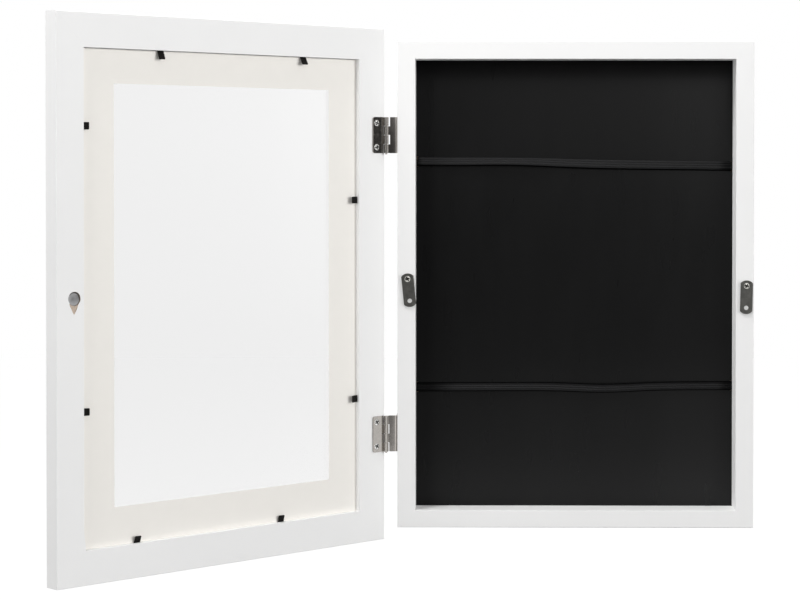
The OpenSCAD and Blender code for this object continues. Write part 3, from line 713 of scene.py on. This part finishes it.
def add_lamp(name, kind, place, aim, energy, **settings):
    """A lamp at a place, turned towards a point, which leaves no image of itself in metal or glass."""
    data = bpy.data.lights.new(name, kind)
    data.energy = energy
    for setting, value in settings.items():
        setattr(data, setting, value)
    lamp = link_object(name, data)
    lamp.location = place
    lamp.rotation_euler = (Vector(aim) - Vector(place)).to_track_quat("-Z", "Y").to_euler()
    hide_from(lamp, "glossy", "camera", "transmission")


def add_sky(name, side, rise, strength):
    """A broad, soft light from one side."""
    away = Vector((sin(side) * cos(rise), -cos(side) * cos(rise), sin(rise)))
    add_lamp(name, "SUN", 3 * away, (0, 0, 0), strength, angle=SKY_WIDTH)


def add_camera(stage):
    data = bpy.data.cameras.new("camera")
    data.lens = stage.lens
    data.sensor_width = 36
    data.shift_x, data.shift_y = stage.shift
    data.clip_start, data.clip_end = 0.05, 50
    camera = link_object("camera", data)
    camera.location = (stage.aside, -stage.distance, stage.height)
    camera.rotation_euler = (
        Matrix.Rotation(stage.yaw, 3, "Z") @ Matrix.Rotation(radians(90) - stage.pitch, 3, "X")
        @ Matrix.Rotation(stage.roll, 3, "Z")).to_euler()
    bpy.context.scene.camera = camera


class PICTUREFRAME_OT_stage(Operator):
    """Sets up the camera, the soft lamps, the white surroundings and the floor"""
    bl_idname = "pictureframe.stage"
    bl_label = "Stage"

    def execute(self, context):
        stage = context.scene.frame_stage
        context.scene.view_settings.view_transform = "Standard"
        set_world(stage)
        add_floor(stage)
        add_camera(stage)
        for name, (side, rise) in SKIES.items():
            add_sky(name, radians(side), radians(rise), getattr(stage, name))
        place, aim, width = HIGH_LAMP
        add_lamp("high_lamp", "AREA", place, aim, stage.high_lamp, shape="DISK", size=width)
        for name, card in CARDS.items():
            add_reflection_card(name, *card)
        return {"FINISHED"}


# ---- Mouldings ----

# An arris is at least this long, and a mitred end at least this large
SHORTEST_ARRIS = 20 * MM
SMALLEST_END = 20 * MM * MM

# How far round a hanger the raw walls of its recess are found, and round the magnet those of its
# hole, which is painted again this far past the magnet's face
RECESS_REACH = 3 * MM
HOLE_SLACK = Vector((0.8 * MM, 0.4 * MM, 0.8 * MM))
HOLE_LIP = 0.1 * MM

# The chip in the paint: points down each side, overlap with the hole, depth and raggedness
CHIP_STEPS = 9
CHIP_OVERLAP = 1.5 * MM
CHIP_DEPTH = 0.35 * MM
CHIP_RAGGED = 0.25 * MM


def is_arris(edge, low, high):
    """Whether an edge runs along a moulding on its front or back plane."""
    a, b = (vertex.co for vertex in edge.verts)
    span = b - a
    along = max(abs(span.x), abs(span.z))
    on_plane = min(abs(a.y - low.y), abs(a.y - high.y)) < NEAR
    return (edge.is_convex and along > SHORTEST_ARRIS and span.length - along < NEAR and on_plane
            and edge.calc_face_angle(0.0) > radians(60))


def is_outer(edge, low, high):
    """Whether an arris lies on the outline of the whole frame and not around its opening."""
    axis = 2 if high.x - low.x > high.z - low.z else 0
    limit = max(abs(low[axis]), abs(high[axis]))
    return all(abs(abs(vertex.co[axis]) - limit) < NEAR for vertex in edge.verts)


def round_moulding(bm, wood, inner_radius):
    """Rounds a moulding's arrises, and chamfers the rim of its mitred ends by a hair."""
    low, high = corners_of(vertex.co for vertex in bm.verts)
    arrises = [edge for edge in bm.edges if is_arris(edge, low, high)]
    outer = [edge for edge in arrises if is_outer(edge, low, high)]
    inner = [edge for edge in arrises if edge not in outer]
    bevel(bm, outer, wood.outer_arris)
    bevel(bm, [edge for edge in inner if edge.is_valid], inner_radius)
    ends = [face for face in bm.faces if face.calc_area() > SMALLEST_END
            and min(abs(face.normal.x), abs(face.normal.z)) > 0.2]
    rims = {edge for face in ends for edge in face.edges if edge.is_convex}
    bevel(bm, list(rims), wood.mitre_line, segments=1)


def bare_inside(bm, low, high):
    """Gives the second material to the faces inside a box, such as the walls of a recess."""
    for face in bm.faces:
        if is_inside(face.calc_center_median(), low, high):
            face.material_index = 1


def narrow_hole(bm, low, high, share):
    """Draws the wall of the magnet's hole in towards its middle, as a thick coat of paint does."""
    middle = (low + high) / 2
    for vertex in bm.verts:
        if is_inside(vertex.co, low, high):
            for axis in (0, 2):
                vertex.co[axis] = middle[axis] + (vertex.co[axis] - middle[axis]) * share


def chip_cutter(wood, middle, hole_bottom, skin, material):
    """A thin wedge with a ragged outline, which takes the paint off below the magnet's hole."""
    bm = bmesh.new()
    left, right = [], []
    for step in range(CHIP_STEPS):
        share = step / (CHIP_STEPS - 1)
        half = wood.chip_width / 2 * (1 - share) ** 0.8
        ragged = CHIP_RAGGED * sin(7.3 * step) * (1 - share)
        z = hole_bottom + CHIP_OVERLAP - share * (wood.chip_length + CHIP_OVERLAP)
        left.append(bm.verts.new((middle - half + ragged, skin + CHIP_DEPTH, z)))
        right.append(bm.verts.new((middle + half + ragged * 0.6, skin + CHIP_DEPTH, z)))
    face = bm.faces.new(left + right[-2::-1])
    made = bmesh.ops.extrude_face_region(bm, geom=[face])["geom"]
    bmesh.ops.translate(bm, vec=(0, -2 * CHIP_DEPTH, 0), verts=only(bmesh.types.BMVert, made))
    bmesh.ops.recalc_face_normals(bm, faces=bm.faces)
    bmesh.ops.transform(bm, matrix=SWING, verts=bm.verts)
    return object_of("chip_cutter", bm, material)


class PICTUREFRAME_OT_box_mouldings(Operator):
    """Makes the four painted mouldings of the box, with raw recesses for the hangers"""
    bl_idname = "pictureframe.box_mouldings"
    bl_label = "Box Mouldings"

    def execute(self, context):
        wood = context.scene.frame_wood
        finishes = satin_paint(wood), bare_board(wood)
        for node in BOX_MOULDINGS:
            bm = merged_copy(node)
            # The walls of the opening move outwards by a hair, most of all the sill
            move_plane(bm, 0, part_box("box_left_stile")[1].x, -wood.side_ease)
            move_plane(bm, 0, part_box("box_right_stile")[0].x, wood.side_ease)
            move_plane(bm, 2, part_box("box_bottom_rail")[1].z, -wood.sill_ease)
            round_moulding(bm, wood, wood.box_arris)
            for low, high in map(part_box, HANGERS):
                bare_inside(bm, low - Vector([RECESS_REACH] * 3),
                            Vector((high.x + RECESS_REACH, -NEAR, high.z + RECESS_REACH)))
            flatten_shading(stand_for(bm, node, *finishes))
        return {"FINISHED"}


class PICTUREFRAME_OT_door_mouldings(Operator):
    """Makes the four painted mouldings of the door, with the magnet's hole and a chip in the paint"""
    bl_idname = "pictureframe.door_mouldings"
    bl_label = "Door Mouldings"

    def execute(self, context):
        wood = context.scene.frame_wood
        finishes = satin_paint(wood), bare_board(wood)
        magnet_low, magnet_high = closed_box("closing_magnet")
        low, high = magnet_low - HOLE_SLACK, magnet_high + HOLE_SLACK
        rabbet_wall = closed_box("mat")[1].x + MAT_GAP
        for node in DOOR_MOULDINGS:
            bm = merged_copy(node, CLOSE)
            move_plane(bm, 0, rabbet_wall, wood.rabbet_ease, RABBET_NEAR)
            round_moulding(bm, wood, wood.door_arris)
            narrow_hole(bm, low, high, wood.hole_share)
            bare_inside(bm, low, Vector((high.x, magnet_high.y + HOLE_LIP, high.z)))
            piece = stand_for(bm, node, *finishes, turn=SWING)
            if node == "door_free_stile":
                skin = closed_box(node)[1].y
                carve(piece, chip_cutter(wood, (low.x + high.x) / 2, magnet_low.z, skin, finishes[1]))
            flatten_shading(piece)
        return {"FINISHED"}


# ---- Boards, pane and mat ----

# The chamfer of the pane's edges, and how far inside the mat's outline its window can start
PANE_EDGE = 0.2 * MM
MAT_BORDER = 5 * MM


def cut_mat(growth, aside):
    """A sheet with a window whose cut edge slants outwards to the front, with clean corners.

    It grows towards the hinge stile and the bottom rail, and aside with the eased rabbet."""
    low, high = closed_box("mat")
    corners = [CLOSE @ vertex.co for vertex in frame["nodes"]["mat"].data.vertices]
    front = corners_of(corner for corner in corners if corner.y < low.y + NEAR
                       and low.x + MAT_BORDER < corner.x < high.x - MAT_BORDER)
    slant = Vector((high.y - low.y, 0, high.y - low.y))
    rear = front[0] + slant, front[1] - slant
    outline = low - Vector((growth, 0, growth)), high + Vector((aside, 0, 0))
    bm = bmesh.new()
    bmesh.ops.create_grid(bm, x_segments=1, y_segments=1, size=1.0, matrix=Matrix.Rotation(pi / 2, 4, "X"))
    bmesh.ops.delete(bm, geom=bm.faces[:], context="FACES_ONLY")
    verts, rims = bm.verts[:], [bm.edges[:]]
    rings = (front, low.y), (outline, low.y), (outline, high.y), (rear, high.y)
    for number, ((least, most), y) in enumerate(rings):
        if number > 0:
            made = bmesh.ops.extrude_edge_only(bm, edges=rims[-1])["geom"]
            verts = only(bmesh.types.BMVert, made)
            rims.append(only(bmesh.types.BMEdge, made))
        for vertex in verts:
            vertex.co = (most.x if vertex.co.x > 0 else least.x, y, most.z if vertex.co.z > 0 else least.z)
    bmesh.ops.bridge_loops(bm, edges=rims[0] + rims[-1])
    bmesh.ops.recalc_face_normals(bm, faces=bm.faces)
    return bm


class PICTUREFRAME_OT_boards(Operator):
    """Finishes the black panel and the fibreboard back"""
    bl_idname = "pictureframe.boards"
    bl_label = "Panel and Back"

    def execute(self, context):
        card = context.scene.frame_card
        coat("black_panel", black_facing(card))
        coat("back_board", fibreboard(card))
        return {"FINISHED"}


class PICTUREFRAME_OT_pane_and_mat(Operator):
    """Makes the clear pane and the mat with its slanted window edge"""
    bl_idname = "pictureframe.pane_and_mat"
    bl_label = "Pane and Mat"

    def execute(self, context):
        card = context.scene.frame_card
        low, high = closed_box("clear_pane")
        bm = bmesh.new()
        bmesh.ops.create_cube(bm, size=1.0)
        bmesh.ops.scale(bm, vec=high - low - Vector((0, 2 * card.pane_air, 0)), verts=bm.verts)
        bmesh.ops.translate(bm, vec=(low + high) / 2, verts=bm.verts)
        bevel(bm, bm.edges[:], PANE_EDGE, segments=1)
        hide_from(stand_for(bm, "clear_pane", clear_sheet(card), turn=SWING), "shadow")

        bm = cut_mat(card.mat_growth, context.scene.frame_wood.rabbet_ease)
        for face in bm.faces:
            is_slanted = 0.3 < abs(face.normal.y) < 0.9
            face.material_index = int(is_slanted)
        stand_for(bm, "mat", mat_face(card), mat_core(card), turn=SWING)
        return {"FINISHED"}


# ---- Elastic bands ----

BAND_THICK = 0.6 * MM
BAND_END_RADIUS = 1.1 * MM
ROWS_PER_RIB = 8

# How far the tails run on behind the panel: to where they end, and to a place halfway
BAND_TAIL = (15 * MM, 8 * MM)

# Painted shade and highlight on the ribs: how bright the yarn is painted in a groove, and how much brighter on the
# crown of a rib
GROOVE_PAINTED_LIGHT = 0.66
CROWN_PAINTED_LIGHT = 0.55


def hump(share, place, width):
    """A smooth hump of height 1 at a place along a band."""
    return exp(-((share - place) / width) ** 2)


def clamped(value):
    return min(max(value, 0.0), 1.0)


def upper_lay(share):
    """How far the slack upper band rises, twists and lifts at a share of its front run."""
    slack = sin(pi * share)
    return ((1.2 * hump(share, 0.28, 0.2) - 0.3) * slack * MM, 0.55 * hump(share, 0.25, 0.28),
            (0.5 + 1.6 * hump(share, 0.25, 0.3)) * slack * MM)


def lower_lay(share):
    """How far the slack lower band rises, twists and lifts at a share of its front run."""
    return (-1.3 * hump(share, 0.6, 0.12) * MM, 0.2 * sin(2 * pi * share),
            (0.4 + 0.9 * hump(share, 0.6, 0.2)) * sin(pi * share) * MM)


def upper_painted_shade(up, share):
    """How bright the upper band is painted: darker along its lower edge and towards its ends, as painted shade."""
    # Painted shade towards both ends, and painted shade along the lower edge
    end_shade = min(max(share / 0.01, 0.3), max((1.0 - share) / 0.045, 0.3), 1.0)
    return 1.16 * clamped(up / 0.13 - 0.9) * end_shade


def lower_painted_shade(up, share):
    """How bright the lower band is painted: darker along both edges and towards its ends, as painted shade."""
    # Painted shade towards both ends, and painted shade along both edges
    end_shade = min(max(share / 0.12, 0.3), max((1.0 - share) / 0.04, 0.3), 1.0)
    return 0.76 * clamped(up / 0.12 - 0.6) * clamped((1.0 - up) / 0.12 - 0.6) * end_shade


# Of each band: its width against the set one, its lay and its painted shade
BANDS = {"upper_elastic_band": (1.12, upper_lay, upper_painted_shade),
         "lower_elastic_band": (1.0, lower_lay, lower_painted_shade)}


def band_route(low, high, radius, steps=72, turn=8):
    """The band's middle line seen from above: the rear end, a half turn, the front run and back."""
    front, rear = low.y, high.y
    left, right = low.x + radius, high.x - radius
    middle, half = (front + rear) / 2, (rear - front) / 2

    def half_turn(end, start, share):
        angles = [start + pi * step / turn for step in range(turn + 1)]
        return [(end + half * cos(angle), middle + half * sin(angle), share) for angle in angles]

    return ([(left + tail, rear, 0.0) for tail in BAND_TAIL]
            + half_turn(left, pi / 2, 0.0)
            + [(left + (right - left) * step / steps, front, step / steps) for step in range(1, steps)]
            + half_turn(right, -pi / 2, 1.0)
            + [(right - tail, rear, 1.0) for tail in reversed(BAND_TAIL)])


def end_height(node, edge):
    """Height of the middle of a band where it turns at its left or right end."""
    heights = [v.co.z for v in frame["nodes"][node].data.vertices if abs(v.co.x - edge) < 0.1 * MM]
    return (min(heights) + max(heights)) / 2


def make_band(node, bands, yarn):
    """A ribbed strip that follows its route through the panel's slits, and lies slack on the front."""
    wider, lay, painted_shade = BANDS[node]
    width = bands.width * wider
    low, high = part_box(node)
    left, right = end_height(node, low.x), end_height(node, high.x)
    half = Vector((0.0, BAND_THICK / 2, 0.0))
    route = band_route(low + half, high - half, BAND_END_RADIUS)
    last = len(route) - 1
    bm = bmesh.new()
    rib = bm.verts.layers.float.new("rib")
    made = bmesh.ops.create_grid(bm, x_segments=last, y_segments=bands.ribs * ROWS_PER_RIB, size=0.5)
    for vertex in made["verts"]:
        column, up = round((vertex.co.x + 0.5) * last), vertex.co.y + 0.5
        from_middle = vertex.co.y * width
        x, y, share = route[column]
        before, after = route[max(column - 1, 0)], route[min(column + 1, last)]
        tangent = Vector((after[0] - before[0], after[1] - before[1], 0)).normalized()
        normal = Vector((tangent.y, -tangent.x, 0))
        rise, tilt, lift = lay(share)
        crown = 0.5 - 0.5 * cos(2 * pi * bands.ribs * up)
        offset = bands.rib_height * crown + lift - sin(tilt) * from_middle
        z = left + (right - left) * share + rise + cos(tilt) * from_middle
        # Painted light per vertex: painted shade in the grooves and a painted highlight on the crowns, times the
        # painted shade of the edges and ends
        vertex[rib] = (GROOVE_PAINTED_LIGHT + CROWN_PAINTED_LIGHT * crown) * painted_shade(up, share)
        vertex.co = Vector((x, y, z)) + normal * offset
    bmesh.ops.recalc_face_normals(bm, faces=bm.faces)
    bmesh.ops.solidify(bm, geom=bm.faces[:], thickness=BAND_THICK * 0.6)
    bmesh.ops.recalc_face_normals(bm, faces=bm.faces)
    stand_for(bm, node, yarn, smooth_angle=70)


class PICTUREFRAME_OT_bands(Operator):
    """Makes the two ribbed elastic bands, which pass through slits in the black panel"""
    bl_idname = "pictureframe.bands"
    bl_label = "Elastic Bands"

    def execute(self, context):
        bands = context.scene.frame_bands
        yarn = elastic_yarn(bands)
        for node in BANDS:
            make_band(node, bands, yarn)
        return {"FINISHED"}


# ---- Steel ----

# The retaining points: the lengths between which an edge crosses their sheet, the radius of their
# tip's corners and how near to the tip those lie, the rounding of all edges, and the root's length
POINT_SHEET = (0.3 * MM, 0.7 * MM)
POINT_TIP = 0.5 * MM
POINT_TIP_REACH = 0.6 * MM
POINT_EDGE = 0.08 * MM
POINT_ROOT = 5.5 * MM

# A screw: head radius, dome height, head depth, shank radius and length
SCREW = (1.97 * MM, 0.3 * MM, 1.15 * MM, 1.1 * MM, 8.5 * MM)
DOME_ANGLES = (0, 0.3, 0.6, 0.9, 1.2, 1.45)

# A bar of the cross recess: its half width at the bottom and the top, its depth and its stretch
CROSS = (0.42 * MM, 0.62 * MM, 1.1 * MM, (4.1, 0.95, 1.0))

# The slots beside the upper hinge's knuckles end this far from the pin's middle
SLOT_END = 2.0 * MM

# A facet of the wall of a keeper plate's hole is at most this large, at most this far aside of the
# plate's middle, and at least this far from its ends
HOLE_FACET = 2 * MM * MM
HOLE_ASIDE = 3 * MM
HOLE_FROM_END = 1.5 * MM


def reach_from_wood(point):
    """How far a point lies from the closed door's outline, towards the window."""
    low, high = closed_box("clear_pane")
    return min(point.x - low.x, high.x - point.x, point.z - low.z, high.z - point.z)


def edge_reach(edge):
    return reach_from_wood((edge.verts[0].co + edge.verts[1].co) / 2)


def nudge(bm, aside, up, rise):
    """Sets a point along its moulding, and lifts its root above the mat."""
    for vertex in bm.verts:
        root = clamped(1.0 - reach_from_wood(vertex.co) / POINT_ROOT)
        vertex.co += Vector((aside, rise * root, up)) * MM


def screw_mesh(material, painted_recess_shade):
    """An oval-head screw along -Z with its cross recess painted dark as shade, its shank hidden in the wood."""
    radius, crown, head, shank, length = SCREW
    dome = [(radius * sin(angle), crown * cos(angle)) for angle in DOME_ANGLES]
    profile = dome + [(radius, -0.05 * MM), (radius * 0.97, -0.12 * MM), (shank, -head),
                      (shank, -length + 1.5 * MM), (0.0, -length)]
    screw = object_of("screw", turned(profile, (0, 0, 0), (0, 0, 1), steps=40), material)
    bottom, top, depth, stretch = CROSS
    for angle in (0, pi / 2):
        bm = bmesh.new()
        bmesh.ops.create_cone(bm, cap_ends=True, segments=4, radius1=bottom, radius2=top, depth=depth,
                              matrix=Matrix.Rotation(pi / 4, 4, "Z"))
        bmesh.ops.scale(bm, vec=stretch, verts=bm.verts)
        bmesh.ops.transform(bm, matrix=Matrix.Rotation(angle, 4, "Z"), verts=bm.verts)
        carve(screw, object_of("cross", bm, painted_recess_shade))
    made = screw.data
    bpy.data.objects.remove(screw)
    return made


def shells(bm):
    """The separate shells of a mesh, as sets of vertices."""
    left = set(bm.verts)
    while left:
        shell, fringe = set(), [left.pop()]
        while fringe:
            vertex = fringe.pop()
            shell.add(vertex)
            others = left & {edge.other_vert(vertex) for edge in vertex.link_edges}
            left -= others
            fringe += others
        yield shell


def head_centres(bm, axis):
    """The middle of the top of each separate screw in a mesh, from the lowest screw up."""
    centres = []
    for shell in shells(bm):
        low, high = corners_of(vertex.co for vertex in shell)
        middle = (low + high) / 2
        top = max(vertex.co.dot(axis) for vertex in shell)
        centres.append(middle + axis * (top - middle.dot(axis)))
    return sorted(centres, key=lambda centre: centre.z)


class PICTUREFRAME_OT_points(Operator):
    """Makes the black retaining points, bent off the mat, with rounded tips"""
    bl_idname = "pictureframe.points"
    bl_label = "Retaining Points"

    def execute(self, context):
        black = black_oxide(context.scene.frame_steel)
        for node, nudges in POINT_NUDGES.items():
            bm = merged_copy(node, CLOSE)
            thin = [edge for edge in bm.edges if POINT_SHEET[0] < edge.calc_length() < POINT_SHEET[1]
                    and edge.calc_face_angle(0.0) > radians(80)]
            farthest = max(map(edge_reach, thin))
            bevel(bm, [edge for edge in thin if farthest - edge_reach(edge) < POINT_TIP_REACH], POINT_TIP)
            nudge(bm, *nudges)
            soften(stand_for(bm, node, black, turn=SWING), POINT_EDGE)
        return {"FINISHED"}


class PICTUREFRAME_OT_screws(Operator):
    """Makes the cross-head screws of the hinges and the keeper plates"""
    bl_idname = "pictureframe.screws"
    bl_label = "Screws"

    def execute(self, context):
        steel = context.scene.frame_steel
        nickel = plated("screw_nickel", steel.screw, 0.12, 0.25, grain=0.2)
        dark = plated("screw_dark_nickel", scaled(steel.keeper, 4.6), 0.12, 0.25, grain=0.2)
        # The cross recess gets a near-black copy of the plating as painted shade
        painted_recess_shade = plated("screw_recess", scaled(steel.keeper, 0.35), 0.45, 0.65)
        template = screw_mesh(nickel, painted_recess_shade)
        for node, axis in SCREW_AXES.items():
            on_door = BODY_OF[node] == "door"
            places = head_centres(merged_copy(node, CLOSE if on_door else None), Vector(axis))
            bm = bmesh.new()
            for number, centre in enumerate(places):
                # The cross of every screw stands at another turn
                turn = Matrix.Rotation(0.4 + 1.1 * number + 0.5 * len(node), 4, "Z")
                first = len(bm.verts)
                bm.from_mesh(template)
                bm.verts.ensure_lookup_table()
                bmesh.ops.transform(bm, matrix=pointing(centre, axis) @ turn, verts=bm.verts[first:])
            stand_for(bm, node, nickel if "hinge" in node else dark, painted_recess_shade,
                      turn=SWING if on_door else None, smooth_angle=30)
        return {"FINISHED"}


class PICTUREFRAME_OT_hinges(Operator):
    """Makes the hinge leaves with softened edges, and their pins"""
    bl_idname = "pictureframe.hinges"
    bl_label = "Hinges"

    def execute(self, context):
        steel = context.scene.frame_steel
        nickel = plated("hinge_nickel", steel.hinge, 0.03, 0.09, bump_depth=0.0005, mottle=0.08)
        for node in LEAVES:
            bm = merged_copy(node)
            if node == "upper_hinge_box_leaf":
                low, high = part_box("upper_hinge_pin")
                move_plane(bm, 0, (low.x + high.x) / 2 + SLOT_END, steel.slot)
            soften(stand_for(bm, node, nickel, smooth_angle=30), steel.edge)
        for node in PINS:
            low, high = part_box(node)
            radius, length = (high.x - low.x) / 2, high.z - low.z
            profile = [(0.0, 0.0), (radius * 0.6, 0.05 * MM), (radius * 0.9, 0.22 * MM), (radius, 0.5 * MM),
                       (radius, length - 0.25 * MM), (radius * 0.85, length - 0.06 * MM), (0.0, length)]
            foot = Vector(((low.x + high.x) / 2, (low.y + high.y) / 2, low.z))
            stand_for(turned(profile, foot, (0, 0, 1)), node, nickel)
        return {"FINISHED"}


class PICTUREFRAME_OT_keepers(Operator):
    """Makes the two dark keeper plates that swivel over the door's edge and the artwork"""
    bl_idname = "pictureframe.keepers"
    bl_label = "Keeper Plates"

    def execute(self, context):
        steel = context.scene.frame_steel
        dark = plated("dark_nickel", steel.keeper, 0.3, 0.45, grain=0.6, mottle=0.2)
        punched = plated("punched_steel", (0.95, 0.95, 0.94), 0.4, 0.5)
        for node in KEEPERS:
            bm = merged_copy(node)
            bm.normal_update()
            low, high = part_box(node)
            half = (high.z - low.z) / 2 - HOLE_FROM_END
            for face in bm.faces:
                inward = (low + high) / 2 - face.calc_center_median()
                is_wall = face.calc_area() < HOLE_FACET and abs(face.normal.y) < 0.1
                if is_wall and abs(inward.x) < HOLE_ASIDE and abs(inward.z) < half:
                    face.material_index = 1
            soften(stand_for(bm, node, dark, punched, smooth_angle=30), 1.6 * steel.edge)
        return {"FINISHED"}


class PICTUREFRAME_OT_magnet(Operator):
    """Makes the round magnet that sits in the free stile"""
    bl_idname = "pictureframe.magnet"
    bl_label = "Magnet"

    def execute(self, context):
        steel = context.scene.frame_steel
        low, high = closed_box("closing_magnet")
        radius = (high.x - low.x) / 2 * context.scene.frame_wood.hole_share
        depth = high.y - low.y
        rim = 0.25 * MM
        profile = [(0.0, 0.0), (radius - rim, 0.0), (radius - 0.3 * rim, -0.3 * rim), (radius, -rim),
                   (radius, -depth + rim), (radius - rim, -depth), (0.0, -depth)]
        top = Vector(((low.x + high.x) / 2, high.y, (low.z + high.z) / 2))
        nickel = plated("magnet_nickel", steel.magnet, 0.28, 0.45, grain=0.3)
        stand_for(turned(profile, top, (0, 1, 0), steps=64), "closing_magnet", nickel, turn=SWING)
        return {"FINISHED"}


class PICTUREFRAME_OT_fixings(Operator):
    """Makes the sawtooth hangers, and finishes the nails, brads and staples"""
    bl_idname = "pictureframe.fixings"
    bl_label = "Hangers and Nails"

    def execute(self, context):
        steel = context.scene.frame_steel
        zinc = plated("bright_zinc", steel.zinc, 0.22, 0.42, mottle=0.16)
        for node in HANGERS:
            soften(stand_for(merged_copy(node), node, zinc, smooth_angle=30), 0.8 * steel.edge)
        for node in NAILS:
            coat(node, zinc)
        return {"FINISHED"}


# ---- Add-on ----

SETTINGS = {"frame_wood": WoodSettings, "frame_card": CardSettings, "frame_bands": BandSettings,
            "frame_steel": SteelSettings, "frame_stage": StageSettings}
OPERATORS = (PICTUREFRAME_OT_stage, PICTUREFRAME_OT_box_mouldings, PICTUREFRAME_OT_door_mouldings,
             PICTUREFRAME_OT_boards, PICTUREFRAME_OT_pane_and_mat, PICTUREFRAME_OT_bands,
             PICTUREFRAME_OT_points, PICTUREFRAME_OT_screws, PICTUREFRAME_OT_hinges,
             PICTUREFRAME_OT_keepers, PICTUREFRAME_OT_magnet, PICTUREFRAME_OT_fixings)


class PICTUREFRAME_PT_sidebar(Panel):
    """Lists the steps and their sizes"""
    bl_label = "Picture Frame"
    bl_space_type = "VIEW_3D"
    bl_region_type = "UI"
    bl_category = "Picture Frame"

    def draw(self, context):
        for group in SETTINGS:
            settings = getattr(context.scene, group)
            column = self.layout.column(align=True)
            for name in settings.bl_rna.properties.keys():
                if name not in ("rna_type", "name"):
                    column.prop(settings, name)
        for operator in OPERATORS:
            self.layout.operator(operator.bl_idname)


CLASSES = (*SETTINGS.values(), *OPERATORS, PICTUREFRAME_PT_sidebar)


def register():
    for cls in CLASSES:
        bpy.utils.register_class(cls)
    for name, settings in SETTINGS.items():
        setattr(bpy.types.Scene, name, PointerProperty(type=settings))


def unregister():
    for name in SETTINGS:
        delattr(bpy.types.Scene, name)
    for cls in reversed(CLASSES):
        bpy.utils.unregister_class(cls)


def main():
    register()
    bpy.ops.pictureframe.stage()
    bpy.ops.pictureframe.box_mouldings()
    bpy.ops.pictureframe.door_mouldings()
    bpy.ops.pictureframe.boards()
    bpy.ops.pictureframe.pane_and_mat()
    bpy.ops.pictureframe.bands()
    bpy.ops.pictureframe.points()
    bpy.ops.pictureframe.screws()
    bpy.ops.pictureframe.hinges()
    bpy.ops.pictureframe.keepers()
    bpy.ops.pictureframe.magnet()
    bpy.ops.pictureframe.fixings()


if __name__ == "__main__":
    main()
